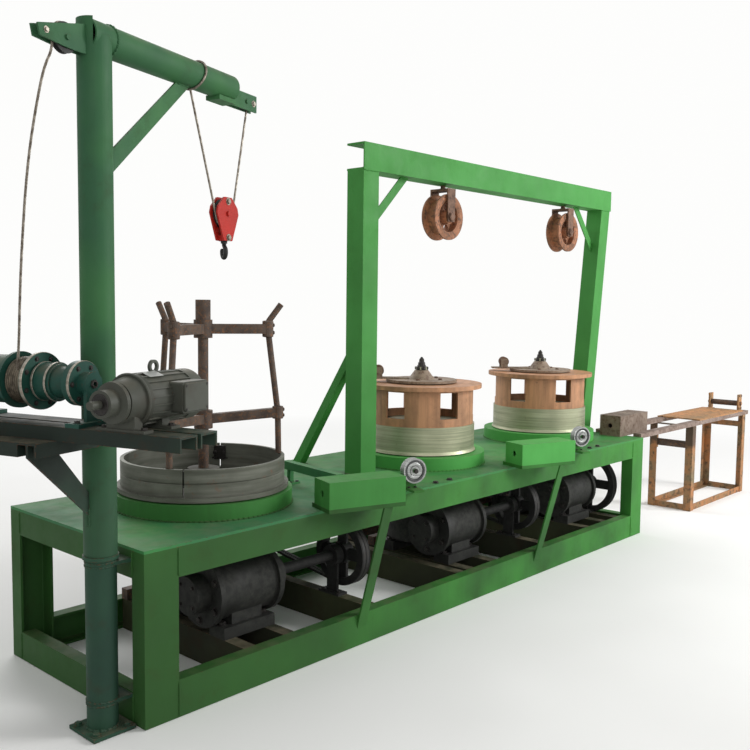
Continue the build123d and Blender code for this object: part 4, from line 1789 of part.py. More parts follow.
def make_nodes():
    """Every node of the model with its shape."""
    left_post, right_post = gantry_posts()
    drives = range(len(BLOCK_XS))
    level_rails = [long_rails(0, LONG_BOTTOM_RAIL), long_rails(DECK_BOTTOM - LONG_TOP_RAIL, LONG_TOP_RAIL),
                   end_rails(0, END_BOTTOM_RAIL), end_rails(DECK_BOTTOM - END_TOP_RAIL, END_TOP_RAIL)]
    nodes = {
        "base_rails": one(*level_rails),
        "corner_posts": corner_posts(),
        "cross_members": cross_members(),
        "deck_plate": deck_plate(),
        "block_collars": collar(BLOCK_XS[0], TAKE_UP_COLLAR_RADIUS) + collar(BLOCK_XS[1], BLOCK_COLLAR_RADIUS)
                         + collar(BLOCK_XS[2], BLOCK_COLLAR_RADIUS),
        "take_up_drum": take_up_drum(),
        "drum_floor": drum_floor() + drum_shaft(),
        "basket_rods": basket_rods(),
        "basket_core": basket_core(),
        "die_supports": one(die_plate(0), die_plate(1), strut(0), strut(1)),
        "die_boxes": die_box(0) + die_box(1),
        "entry_die_box": entry_box(),
        "guide_bar": guide_bar(),
        "guide_brackets": guide_bracket(0) + guide_bracket(1),
        "gantry_posts": left_post + right_post,
        "gantry_beam": gantry_beam(),
        "gantry_braces": corner_braces() + back_stay(),
        "sheave_hangers": sheave_hanger(0) + sheave_hanger(1),
        "gearboxes": one(*[gearbox(x) for x in BLOCK_XS]),
        "bearing_stands": one(*[bearing_stand(index) for index in drives]),
        "drive_motors": one(*[drive_motor(index) for index in drives]),
        "motor_pulleys": one(*[motor_pulley(index) for index in drives]),
        "motor_rails": motor_rails(),
        "drive_belts": one(*[belts(index) for index in drives]),
        "crane_post": crane_post() + crane_brackets(),
        "mast": mast(),
        "crane_arm": arm() + tip_bracket() + rear_bracket(),
        "arm_brace": arm_brace(),
        "platform_rails": platform_rails(),
        "platform_bearers": platform_bearers(),
        "hoist_motor": hoist_motor(),
        "winch_drum": winch_drum(),
        "winch_case": winch_case() + winch_brackets(),
        "rope_pulleys": rope_pulleys(),
        "front_rope": front_rope() + rope_knot(),
        "back_rope": back_rope(),
        "hook_block": hook_block(),
        "hook": hook(),
        "stand_legs": stand_legs(),
        "stand_ties": stand_ties(),
        "stand_rails": stand_rails(),
        "stand_plate": stand_plate(),
        "roller_supports": roller_cheeks() + roller_blocks(),
        "feed_roller": feed_roller(),
        "low_roller": low_roller(),
    }
    for number in (2, 3):
        x = BLOCK_XS[number - 1]
        nodes[f"drawing_block_{number}"] = drawing_block(x) + spindle(x)
        nodes[f"spool_{number}"] = spool(x, SPOOL_TURNS[number - 2])
        nodes[f"flyer_{number}"] = flyer(x)
        nodes[f"flyer_roller_{number}"] = flyer_roller(x)
    for count in range(2):
        nodes[f"sheave_{count + 1}"] = sheave(count)
        nodes[f"guide_pulley_{count + 1}"] = guide_pulley(count)
    for index in drives:
        nodes[f"belt_pulley_{index + 1}"] = belt_pulley(index)
    return nodes


os.makedirs("parts", exist_ok=True)
for name, shape in make_nodes().items():
    export_step(shape, f"parts/{name}.step")
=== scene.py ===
import math

import bmesh
import bpy
from mathutils import Matrix, Vector


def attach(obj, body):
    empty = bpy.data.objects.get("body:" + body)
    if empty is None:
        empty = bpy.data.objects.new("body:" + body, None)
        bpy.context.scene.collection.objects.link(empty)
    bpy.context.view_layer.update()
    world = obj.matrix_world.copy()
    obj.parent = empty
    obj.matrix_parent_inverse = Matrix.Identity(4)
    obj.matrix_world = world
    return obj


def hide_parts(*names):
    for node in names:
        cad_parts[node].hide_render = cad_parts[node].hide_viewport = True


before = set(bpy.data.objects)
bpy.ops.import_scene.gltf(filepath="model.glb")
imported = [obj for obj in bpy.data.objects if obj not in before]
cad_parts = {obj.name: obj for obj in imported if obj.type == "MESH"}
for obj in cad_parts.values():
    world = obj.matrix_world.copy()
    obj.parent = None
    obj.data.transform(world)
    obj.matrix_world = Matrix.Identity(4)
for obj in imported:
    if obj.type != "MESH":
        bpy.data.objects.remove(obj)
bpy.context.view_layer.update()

# The looks of a wire drawing machine: camera, ropes, materials, small fittings, floor and light.
# Metres, in the same frame as the model: the origin is on the floor under the middle of the base.

# Camera, fitted to the photograph: place, heading from +Y towards +X, tilt and roll in degrees
CAMERA_PLACE = Vector((-3.2775, -2.8205, 1.366))
CAMERA_HEADING = 47.749
CAMERA_TILT = -4.638
CAMERA_ROLL = 0.683
CAMERA_LENS = 42.92     # for a sensor 36 mm wide
SENSOR_WIDTH = 36

# The crane's own directions: out along the arm, to its left, and up
CRANE_COLUMN = Vector((-1.8125, -0.3335, 0))
CRANE_TURN = math.radians(17)
CRANE = Matrix.Translation(CRANE_COLUMN) @ Matrix.Rotation(CRANE_TURN, 4, "Z")

# Ropes
ROPE_DIAMETER = 0.008
ROPE_STRANDS = 6
ROPE_LAY = 0.055        # length in which a strand goes once round
ROPE_CORE_INSET = 1.5   # the core's surface under the rope's, in strand radii
STRAND_SHARE = 0.17     # a strand's radius, of the rope's diameter
STRAND_SIDES = 6
ROPE_STEP = 0.003
ROPE_EXIT = (-0.052, 0, 2.1563)
ROPE_ROUTE = [ROPE_EXIT, (-0.0837, 0, 2.1563), (-0.1663, 0, 2.1563), (-0.1663, 0, 2.0737),
              (-0.19, 0.01, 2.0212), (-0.2, 0.032, 1.9135), (-0.204, 0.056, 1.7962),
              (-0.203, 0.076, 1.6827), (-0.202, 0.09, 1.5711), (-0.2025, 0.101, 1.4576),
              (-0.2015, 0.11, 1.346), (-0.2005, 0.117, 1.2335), (-0.1903, 0.139, 1.12)]

# Places of the model's main pieces
LEFT_END = -1.7295
RIGHT_END = 1.7295
FRONT = -0.4465
BACK = 0.4465
DECK_TOP = 0.58
COLLARS = ((-1.1645, 0.345), (0.1725, 0.319), (1.2745, 0.319))   # X and radius
BLOCK_XS = tuple(x for x, radius in COLLARS)
WORM = (-0.176, 0.29)               # the worm shafts' Y and Z
BEARING_XS = (-0.6195, 0.7175, 1.5195)
BELT_PULLEY_XS = (-0.5595, 0.7775, 1.5795)
GUIDE_PULLEY_XS = (LEFT_END + 1.312, LEFT_END + 2.705)
GUIDE_PULLEY_HEIGHT = 0.665
GUIDE_PULLEY_TURN = Matrix.Rotation(math.radians(-22), 4, "Z")
SPOOL_TOP = 0.972
GANTRY_Y = -0.0465
GANTRY_HALF = 0.05
GANTRY_FEET = (-0.3175, 1.6675)
GANTRY_HEADS = (-0.3175, 1.8325)
BEAM_BOTTOM = 1.95
SHEAVE_XS = (0.2605, 1.4055)
SHEAVE_HEIGHT = 1.79
HANGER_FOOT_TOP = 1.928
PLATFORM_TOP = 1.0
WINCH_AXIS = (-0.136, 1.12)         # out from the mast, and up
HOIST_MOTOR_AXIS = (-0.27, 1.084)   # to the mast's left, and up
HOOK_REACH = 0.672
FEED_CHEEKS_X = LEFT_END + 5.15
FEED_TIE_X = LEFT_END + 4.225 + 0.064
FEED_LEGS_X = LEFT_END + 4.40


def crane_point(out, left, up):
    """A point given in the crane's own directions."""
    return CRANE_COLUMN + Matrix.Rotation(CRANE_TURN, 3, "Z") @ Vector((out, left, up))


def link(name, data, material=None):
    """A new object for a mesh, curve, camera or lamp, with its material."""
    piece = bpy.data.objects.new(name, data)
    bpy.context.scene.collection.objects.link(piece)
    if material:
        data.materials.append(material)
    return piece


def meshed(name, shape, smooth=False):
    """The mesh of a finished shape."""
    mesh = bpy.data.meshes.new(name)
    shape.to_mesh(mesh)
    shape.free()
    if smooth:
        mesh.shade_smooth()
    return mesh


def make_camera():
    """The camera that took the photograph."""
    data = bpy.data.cameras.new("photo_camera")
    data.sensor_width = SENSOR_WIDTH
    data.lens = CAMERA_LENS
    camera = link("photo_camera", data)
    heading = Matrix.Rotation(math.radians(-CAMERA_HEADING), 4, "Z")
    tilt = Matrix.Rotation(math.radians(90 + CAMERA_TILT), 4, "X")
    roll = Matrix.Rotation(math.radians(CAMERA_ROLL), 4, "Z")
    camera.matrix_world = Matrix.Translation(CAMERA_PLACE) @ heading @ tilt @ roll
    bpy.context.scene.camera = camera


# Materials

def srgb(red, green, blue):
    """A colour as it is seen, from 0 to 255, as the values that a shader takes, by the usual curve."""
    return tuple((c / 255 / 12.92) if c <= 10 else ((c / 255 + 0.055) / 1.055) ** 2.4
                 for c in (red, green, blue)) + (1.0,)


MIX_COLOURS = (6, 7)    # a mix node's sockets for colours
MIX_RESULT = 2
FACES_UP = (0.3, 0.95)  # the normal's Z where dust begins to lie, and where it lies thick
EDGE_SAMPLES = 4
EDGE_BEND = (0.995, 0.86)   # the cosine between a face and its rounded edge: flat, and sharp


class Finish:
    """A material and the few kinds of node that the finishes here are made of."""

    def __init__(self, name, roughness=0.5, metallic=0.0):
        self.material = bpy.data.materials.new(name)
        self.material.use_nodes = True
        self.tree = self.material.node_tree
        self.shader = self.tree.nodes["Principled BSDF"]
        self.shader.inputs["Roughness"].default_value = roughness
        self.shader.inputs["Metallic"].default_value = metallic
        self.place = self.tree.nodes.new("ShaderNodeTexCoord").outputs["Object"]
        self.facing = self.tree.nodes.new("ShaderNodeNewGeometry").outputs["Normal"]
        self.normal = None

    def put(self, value, socket):
        """Links a node's output to a socket, or writes a plain value on it."""
        if isinstance(value, bpy.types.NodeSocket):
            self.tree.links.new(value, socket)
        else:
            socket.default_value = value

    def math(self, kind, first, second=0.0):
        """One sum on one or two values."""
        node = self.tree.nodes.new("ShaderNodeMath")
        node.operation = kind
        self.put(first, node.inputs[0])
        self.put(second, node.inputs[1])
        return node.outputs[0]

    def stretched(self, factors):
        """The place on the object, scaled differently along X, Y and Z."""
        node = self.tree.nodes.new("ShaderNodeMapping")
        node.inputs["Scale"].default_value = factors
        self.put(self.place, node.inputs["Vector"])
        return node.outputs[0]

    def noise(self, scale, detail=4.0, roughness=0.55, place=None):
        """Cloudy noise from 0 to 1."""
        node = self.tree.nodes.new("ShaderNodeTexNoise")
        node.inputs["Scale"].default_value = scale
        node.inputs["Detail"].default_value = detail
        node.inputs["Roughness"].default_value = roughness
        self.put(place or self.place, node.inputs["Vector"])
        return node.outputs["Fac"]

    def between(self, value, low, high, start=0.0, end=1.0):
        """Value taken from the range low to high into the range start to end, and held there."""
        node = self.tree.nodes.new("ShaderNodeMapRange")
        self.put(value, node.inputs["Value"])
        node.inputs["From Min"].default_value = low
        node.inputs["From Max"].default_value = high
        node.inputs["To Min"].default_value = start
        node.inputs["To Max"].default_value = end
        return node.outputs["Result"]

    def mix(self, amount, first, second):
        """One colour laid over another."""
        node = self.tree.nodes.new("ShaderNodeMix")
        node.data_type = "RGBA"
        self.put(amount, node.inputs["Factor"])
        for colour, socket in zip((first, second), MIX_COLOURS):
            self.put(colour, node.inputs[socket])
        return node.outputs[MIX_RESULT]

    def split(self, vector):
        """The X, Y and Z of a vector."""
        node = self.tree.nodes.new("ShaderNodeSeparateXYZ")
        self.put(vector, node.inputs[0])
        return node.outputs

    def stain(self, under, over, cloud, low, high, most=1.0):
        """A colour over another, up to most of it, where the cloud passes from low to high."""
        return self.mix(self.between(cloud, low, high, 0, most), under, over)

    def upward(self):
        """1 where a surface faces up, 0 where it faces sideways or down."""
        return self.between(self.split(self.facing)["Z"], *FACES_UP)

    def edge(self, radius=0.004):
        """1 along sharp edges, 0 on flat faces."""
        bevel = self.tree.nodes.new("ShaderNodeBevel")
        bevel.samples = EDGE_SAMPLES
        bevel.inputs["Radius"].default_value = radius
        node = self.tree.nodes.new("ShaderNodeVectorMath")
        node.operation = "DOT_PRODUCT"
        self.put(bevel.outputs[0], node.inputs[0])
        self.put(self.facing, node.inputs[1])
        return self.between(node.outputs["Value"], *EDGE_BEND)

    def bump(self, height, distance, strength=1.0):
        """Relief of that depth in metres, over any relief before it."""
        node = self.tree.nodes.new("ShaderNodeBump")
        node.inputs["Strength"].default_value = strength
        node.inputs["Distance"].default_value = distance
        self.put(height, node.inputs["Height"])
        if self.normal:
            self.put(self.normal, node.inputs["Normal"])
        self.normal = node.outputs[0]

    def done(self, colour, roughness=None, metallic=None):
        """Joins the colour, gloss and relief to the shader."""
        self.put(colour, self.shader.inputs["Base Color"])
        if roughness is not None:
            self.put(roughness, self.shader.inputs["Roughness"])
        if metallic is not None:
            self.put(metallic, self.shader.inputs["Metallic"])
        if self.normal:
            self.put(self.normal, self.shader.inputs["Normal"])
        return self.material


PAINT_SHINE = 0.22
SHADE_SPAN = 2.2          # painted shade: the paint is drawn lighter at this X, and darker at minus this X
SHADE_SHIFT = 0.12
RUST = srgb(112, 66, 40)
DARK_RUST = srgb(58, 40, 30)
DUST = srgb(128, 118, 98)
LEG_BLACK = srgb(40, 37, 33)
LEG_BLACK_HEIGHT = 0.43      # where the near black on the feed stand's nearer legs begins
LEG_BLACK_STRENGTH = 0.8


def machine_paint(name, fresh, worn, chips=0.5, dirt=0.4, gloss=0.52, old=None, fade=("X", 0.3, -1.3)):
    """Brushed machine paint: uneven tone, runs, chipped edges with rust, dust on what faces up; painted
    shade, darker towards minus X, and a second tone along one axis.
    """
    finish = Finish(name)
    finish.shader.inputs["Specular IOR Level"].default_value = PAINT_SHINE
    along = finish.split(finish.place)
    # Painted shade: the tone leans to the worn one towards minus X and to the fresh one towards plus X, as
    # under light from the right.
    painted_shade_x = finish.between(along["X"], SHADE_SPAN, -SHADE_SPAN, -SHADE_SHIFT, SHADE_SHIFT)
    colour = finish.stain(fresh, worn, finish.math("ADD", finish.noise(2.1, 3), painted_shade_x), 0.35, 0.65)
    # A second tone laid on along one axis: along X it is painted shade, darker towards minus X; along Z it is
    # darker towards the bottom.
    if old:
        axis, start, end = fade
        colour = finish.stain(colour, old, along[axis], start, end, 0.75)
    runs = finish.noise(1, 5, 0.6, finish.stretched((26, 26, 1.6)))
    colour = finish.stain(colour, worn, runs, 0.5, 0.82, 0.35)
    grime = finish.noise(9, 7, 0.65)
    colour = finish.stain(colour, DARK_RUST, grime, 0.55, 0.8, dirt)
    dust = finish.between(finish.noise(13, 6), 0.4, 0.75, 0, dirt)
    colour = finish.mix(finish.math("MULTIPLY", finish.upward(), dust), colour, DUST)
    edges = finish.between(finish.edge(), 0, 1, 0, 0.14 * (0.5 + chips))
    limit = 0.735 - 0.05 * chips
    chip = finish.between(finish.math("ADD", finish.noise(55, 9, 0.7), edges), limit, limit + 0.03)
    colour = finish.mix(chip, colour, finish.mix(finish.noise(90, 3), RUST, DARK_RUST))
    gloss_map = finish.between(grime, 0.3, 0.8, gloss, gloss + 0.25)
    rough = finish.math("MAXIMUM", gloss_map, finish.between(chip, 0, 1, 0, 0.85))
    finish.bump(finish.noise(420, 2), 0.0004, 0.25)
    finish.bump(finish.noise(30, 5), 0.0015, 0.22)
    finish.bump(finish.math("SUBTRACT", 1.0, chip), 0.0006, 0.6)
    return finish.done(colour, rough)


def rusty(name, first, second, third, scale=18, rough=0.82, black_above=None):
    """Bare steel gone rusty: three tones in blotches, with pits; near legs black above a wandering line."""
    finish = Finish(name)
    blotch = finish.between(finish.noise(scale, 8, 0.68), 0.38, 0.62)
    colour = finish.mix(blotch, first, second)
    if black_above:
        # The nearer legs drawn near black above a ragged line.
        place = finish.split(finish.place)
        ragged = finish.math("ADD", place["Z"], finish.between(finish.noise(16, 4), 0, 1, -0.03, 0.03))
        height = finish.between(ragged, black_above - 0.015, black_above + 0.02)
        near = finish.between(place["X"], FEED_LEGS_X + 0.02, FEED_LEGS_X)
        black_share = finish.math("MULTIPLY", finish.math("MULTIPLY", height, near), LEG_BLACK_STRENGTH)
        colour = finish.mix(black_share, colour, LEG_BLACK)
    colour = finish.stain(colour, third, finish.noise(scale * 4, 6, 0.7), 0.52, 0.64)
    colour = finish.stain(colour, second, finish.edge(0.003), 0, 1, 0.45)
    finish.bump(finish.noise(scale * 12, 6, 0.7), 0.0011, 0.5)
    finish.bump(blotch, 0.0006, 0.4)
    return finish.done(colour, finish.between(blotch, 0, 1, rough - 0.18, rough))


def scoured(name, first, second, third):
    """Primer worn through by wire: streaks up and down, soft blotches, few pits."""
    finish = Finish(name)
    streaks = finish.noise(1, 4, 0.6, finish.stretched((34, 34, 3)))
    colour = finish.stain(first, second, streaks, 0.38, 0.64)
    blotch = finish.between(finish.noise(6, 5, 0.6), 0.46, 0.7, 0, 0.7)
    colour = finish.mix(blotch, colour, third)
    colour = finish.stain(colour, DARK_RUST, finish.noise(46, 6, 0.7), 0.62, 0.7, 0.6)
    colour = finish.stain(colour, first, finish.edge(0.003), 0, 1, 0.5)
    finish.bump(finish.noise(150, 5, 0.7), 0.0008, 0.4)
    finish.bump(streaks, 0.0006, 0.3)
    return finish.done(colour, finish.between(blotch, 0, 0.7, 0.5, 0.75))


def turned_metal(name, bright, dull, rings=240, metallic=0.8, rough=0.38, rust=0.15):
    """Turned or wire-polished metal: fine level rings, stains, a little rust."""
    finish = Finish(name, metallic=metallic)
    lines = finish.noise(1, 3, 0.6, finish.stretched((3, 3, rings)))
    stain = finish.noise(7, 6, 0.62)
    colour = finish.stain(bright, dull, lines, 0.35, 0.65)
    colour = finish.stain(colour, dull, stain, 0.45, 0.75, 0.6)
    patch = finish.between(finish.noise(24, 7, 0.7), 0.66 - rust, 0.80 - rust, 0, 0.75)
    colour = finish.mix(patch, colour, RUST)
    metal = finish.between(patch, 0, 1, metallic, 0.1)
    finish.bump(lines, 0.0005, 0.35)
    finish.bump(finish.noise(160, 3), 0.0003, 0.25)
    return finish.done(colour, finish.between(stain, 0.3, 0.8, rough, rough + 0.28), metal)


def cast_iron(name, tone, dark, scale=40, rough=0.75, metallic=0.25):
    """Rough casting: pebbled skin, dark in blotches."""
    finish = Finish(name, metallic=metallic)
    colour = finish.stain(dark, tone, finish.noise(scale, 8, 0.65), 0.35, 0.68)
    oil = finish.between(finish.noise(5, 5), 0.45, 0.7)
    colour = finish.mix(oil, colour, dark)
    finish.bump(finish.noise(scale * 9, 4), 0.0008, 0.5)
    return finish.done(colour, finish.between(oil, 0, 1, rough, rough - 0.3))


def rubber(name, clean, dusty):
    """Belt rubber, dusty and cracked."""
    finish = Finish(name)
    dust = finish.between(finish.noise(34, 7), 0.4, 0.75, 0, 0.5)
    finish.bump(finish.noise(260, 4), 0.0005, 0.5)
    return finish.done(finish.mix(dust, clean, dusty), finish.between(dust, 0, 0.5, 0.6, 0.85))


def wire(name, bare, greasy):
    """Steel wire with grease in patches."""
    finish = Finish(name, metallic=0.6)
    grease = finish.between(finish.noise(60, 5), 0.4, 0.7)
    finish.bump(finish.noise(700, 2), 0.0003, 0.4)
    return finish.done(finish.mix(grease, bare, greasy), finish.between(grease, 0, 1, 0.35, 0.7))


# Each finish: how it is made, its colours as they are seen, and what differs from the usual
FINISHES = {
    # The second tones of frame_green and box_green are painted shade, darker towards the left.
    "frame_green": (machine_paint, ((60, 128, 52), (42, 86, 38)),
                    {"chips": 0.35, "dirt": 0.3, "old": srgb(42, 76, 34)}),
    "gantry_green": (machine_paint, ((69, 143, 66), (60, 127, 57)), {"chips": 0.25, "dirt": 0.15}),
    "deck_green": (machine_paint, ((64, 134, 68), (52, 108, 68)), {"chips": 0.6, "dirt": 0.3}),
    "box_green": (machine_paint, ((80, 164, 78), (68, 146, 66)),
                  {"chips": 0.3, "dirt": 0.15, "gloss": 0.5, "old": srgb(48, 94, 44)}),
    # Painted shade: the cross members under the deck drawn dark olive, as in the deep shade there, with heavy
    # dirt and chips.
    "floor_green_shaded": (machine_paint, ((62, 66, 44), (44, 46, 34)), {"chips": 0.8, "dirt": 0.7, "gloss": 0.7}),
    # crane_green's second tone makes the mast darker towards the bottom.
    "crane_green": (machine_paint, ((60, 112, 62), (45, 86, 58)),
                    {"old": srgb(42, 66, 52), "fade": ("Z", 1.15, 0.7)}),
    "dark_teal": (machine_paint, ((46, 86, 60), (36, 62, 50)), {"chips": 0.8, "dirt": 0.5}),
    "platform_dark": (machine_paint, ((44, 66, 52), (28, 38, 32)), {"chips": 0.9, "dirt": 0.5}),
    "winch_green": (machine_paint, ((40, 98, 82), (30, 68, 58)), {"chips": 0.6, "dirt": 0.5, "gloss": 0.35}),
    "motor_grey": (machine_paint, ((90, 94, 85), (68, 70, 63)), {"chips": 0.3, "gloss": 0.42}),
    "block_red": (machine_paint, ((188, 40, 28), (150, 30, 24)), {"dirt": 0.25, "gloss": 0.35}),
    "drum_grey": (turned_metal, ((110, 112, 102), (84, 86, 76)),
                  {"rings": 46, "metallic": 0.4, "rough": 0.52, "rust": 0.06}),
    "drum_inside": (cast_iron, ((88, 86, 76), (52, 50, 44)), {"scale": 26, "rough": 0.85, "metallic": 0.05}),
    "block_steel": (turned_metal, ((178, 178, 150), (140, 144, 118)),
                    {"rings": 150, "metallic": 0.62, "rough": 0.34, "rust": 0.03}),
    "spool_primer": (scoured, ((196, 142, 102), (162, 116, 82), (120, 92, 70)), {}),
    "flyer_steel": (rusty, ((150, 132, 112), (122, 104, 88), (96, 70, 52)), {"scale": 16, "rough": 0.7}),
    "rust_orange": (rusty, ((186, 126, 72), (144, 116, 82), (98, 72, 50)), {"scale": 7}),
    "stand_frame": (rusty, ((168, 112, 66), (126, 112, 84), (88, 66, 46)),
                    {"scale": 8, "black_above": LEG_BLACK_HEIGHT}),
    "stand_rail": (rusty, ((142, 124, 114), (112, 94, 84), (94, 74, 60)), {"scale": 11}),
    "rust_brown": (rusty, ((122, 88, 66), (84, 60, 46), (66, 50, 42)), {"scale": 20}),
    "rust_dark": (rusty, ((84, 68, 56), (56, 46, 40), (118, 80, 50)), {"scale": 24}),
    "dusty_steel": (rusty, ((128, 112, 98), (104, 88, 76), (88, 66, 52)), {"scale": 12}),
    "sheave_rust": (rusty, ((166, 108, 72), (120, 82, 58), (78, 60, 48)), {"scale": 16}),
    "bright_steel": (turned_metal, ((196, 198, 196), (128, 130, 128)),
                     {"rings": 500, "metallic": 0.9, "rough": 0.28, "rust": 0.0}),
    "oily_iron": (cast_iron, ((50, 51, 46), (20, 21, 19)), {}),
    "black_iron": (cast_iron, ((42, 42, 40), (17, 17, 17)), {}),
    "bolt_dark": (cast_iron, ((66, 62, 58), (34, 32, 31)), {"scale": 120, "rough": 0.5, "metallic": 0.5}),
    "seal_dark": (cast_iron, ((84, 84, 84), (52, 54, 54)), {"scale": 90, "rough": 0.55, "metallic": 0.2}),
    "worn_rim": (turned_metal, ((176, 170, 158), (120, 112, 100)),
                 {"rings": 60, "metallic": 0.7, "rough": 0.35, "rust": 0.02}),
    "plate_alloy": (turned_metal, ((176, 178, 174), (138, 140, 136)),
                    {"rings": 40, "metallic": 0.6, "rough": 0.4, "rust": 0.0}),
    "belt_rubber": (rubber, ((18, 18, 18), (62, 58, 52)), {}),
    "wire_rope": (wire, ((150, 142, 130), (74, 62, 50)), {}),
    "greasy_rope": (wire, ((96, 88, 74), (46, 40, 32)), {}),
}


def make_finishes():
    """Every finish by name."""
    return {name: make(name, *[srgb(*colour) for colour in colours], **options)
            for name, (make, colours, options) in FINISHES.items()}


NODES_OF_FINISH = {
    "frame_green": ("base_rails", "corner_posts", "die_supports", "guide_brackets"),
    "floor_green_shaded": ("cross_members",),
    "deck_green": ("deck_plate", "guide_bar"),
    "box_green": ("block_collars", "die_boxes"),
    "dusty_steel": ("entry_die_box",),
    "gantry_green": ("gantry_posts", "gantry_beam", "gantry_braces"),
    "oily_iron": ("gearboxes",),
    "black_iron": ("bearing_stands", "drive_motors", "motor_pulleys", "belt_pulley_1", "belt_pulley_2",
                   "belt_pulley_3", "rope_pulleys", "hook"),
    "belt_rubber": ("drive_belts",),
    "dark_teal": ("crane_post",),
    "stand_frame": ("stand_legs", "stand_ties"),
    "stand_rail": ("stand_rails",),
    "rust_orange": ("stand_plate", "roller_supports"),
    "rust_dark": ("motor_rails", "basket_rods", "basket_core", "feed_roller", "low_roller"),
    "rust_brown": ("sheave_hangers", "flyer_roller_2", "flyer_roller_3"),
    "drum_grey": ("take_up_drum",),
    "drum_inside": ("drum_floor",),
    "block_steel": ("drawing_block_2", "drawing_block_3"),
    "spool_primer": ("spool_2", "spool_3"),
    "flyer_steel": ("flyer_2", "flyer_3"),
    "sheave_rust": ("sheave_1", "sheave_2"),
    "bright_steel": ("guide_pulley_1", "guide_pulley_2"),
    "crane_green": ("mast", "crane_arm", "arm_brace"),
    "platform_dark": ("platform_rails", "platform_bearers"),
    "motor_grey": ("hoist_motor",),
    "winch_green": ("winch_drum", "winch_case"),
    "wire_rope": ("front_rope",),
    "block_red": ("hook_block",),
}


def dress_nodes(finishes):
    """Gives every solid of the model its finish."""
    for finish, nodes in NODES_OF_FINISH.items():
        for node in nodes:
            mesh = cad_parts[node].data
            if not mesh.materials:
                mesh.materials.append(None)
            for index in range(len(mesh.materials)):
                mesh.materials[index] = finishes[finish]


# Ropes

def smooth_route(points):
    """The points of a smooth line that follows a rope's route."""
    curve = bpy.data.curves.new("route", "CURVE")
    curve.dimensions = "3D"
    curve.resolution_u = 24
    spline = curve.splines.new("NURBS")
    spline.points.add(len(points) - 1)
    for point, place in zip(spline.points, points):
        point.co = (*place, 1)
    spline.order_u = 3
    spline.use_endpoint_u = True
    route = link("route", curve)
    bpy.context.view_layer.update()
    mesh = bpy.data.meshes.new_from_object(route)
    line = [vertex.co.copy() for vertex in mesh.vertices]
    bpy.data.objects.remove(route)
    bpy.data.curves.remove(curve)
    bpy.data.meshes.remove(mesh)
    return line


def spaced(line, step):
    """Points at even steps along a line."""
    places = [line[0]]
    left = step
    for start, end in zip(line, line[1:]):
        run = (end - start).length
        while run >= left:
            start = start.lerp(end, left / run)
            places.append(start)
            run = (end - start).length
            left = step
        left -= run
    places.append(line[-1])
    return places


def frames_along(line):
    """For each point, the direction of the line there and two directions across it."""
    frames = []
    side = Vector((0, 0, 1)).cross(line[1] - line[0])
    if side.length < 1e-6:
        side = Vector((1, 0, 0))
    for index, point in enumerate(line):
        ahead = line[min(index + 1, len(line) - 1)] - line[max(index - 1, 0)]
        ahead.normalize()
        side = (side - ahead * side.dot(ahead)).normalized()
        frames.append((point, side.copy(), ahead.cross(side)))
    return frames


def around(sides):
    """The cosine and sine of each corner of an even polygon."""
    return [(math.cos(a), math.sin(a)) for a in (2 * math.pi * corner / sides for corner in range(sides))]


def skin(shape, rings, closed=False):
    """Faces from ring to ring of vertices, with a cap on both ends, or on to the first ring if closed."""
    for first, second in zip(rings, rings[1:] + rings[:1] if closed else rings[1:]):
        for index in range(len(first)):
            after = (index + 1) % len(first)
            shape.faces.new((first[index], first[after], second[after], second[index]))
    if not closed:
        shape.faces.new(reversed(rings[0]))
        shape.faces.new(rings[-1])


def tube(shape, line, radius, sides, turn=None, offset=0.0, start_angle=0.0):
    """A tube round a line. With turn, it winds round the line at offset, once in each length turn."""
    rings = []
    travelled = 0.0
    before = line[0]
    for point, across, other in frames_along(line):
        travelled += (point - before).length
        before = point
        angle = start_angle + (2 * math.pi * travelled / turn if turn else 0.0)
        centre = point + offset * (math.cos(angle) * across + math.sin(angle) * other)
        rings.append([shape.verts.new(centre + radius * (c * across + s * other)) for c, s in around(sides)])
    skin(shape, rings)


def laid_rope(name, line, diameter, material):
    """A rope of twisted strands along a line."""
    shape = bmesh.new()
    strand = diameter * STRAND_SHARE
    for count in range(ROPE_STRANDS):
        start = 2 * math.pi * count / ROPE_STRANDS
        tube(shape, line, strand, STRAND_SIDES, ROPE_LAY, diameter / 2 - strand, start)
    tube(shape, line, diameter / 2 - ROPE_CORE_INSET * strand, STRAND_SIDES)
    return link(name, meshed(name, shape, True), material)


def make_back_rope(material):
    """The slack rope from the mast over the rear pulley down to the winch."""
    route = [crane_point(*place) for place in ROPE_ROUTE]
    line = spaced(smooth_route(route), ROPE_STEP)
    rope = laid_rope("back_rope_strands", line, ROPE_DIAMETER, material)
    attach(rope, "crane")
    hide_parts("back_rope")


# Small fittings: bolts, nuts, welds, trims

UP = (0, 0, 1)
BEAD_STEP = 0.006       # between the ripples of a weld
BEAD_SIDES = 6
WELD_RING_STEP = 0.02
CORNER_STEPS = 5        # points on a rounded corner
PAD_EDGE = 0.7          # where a padded plate's top begins to draw in, and to what share
PAD_TOP = 0.97


def rim(inner, outer, slope, width):
    """The outline of a band that stands out from inner to outer radius, with sloping edges."""
    return [(inner, 0), (outer, slope), (outer, width - slope), (inner, width)]


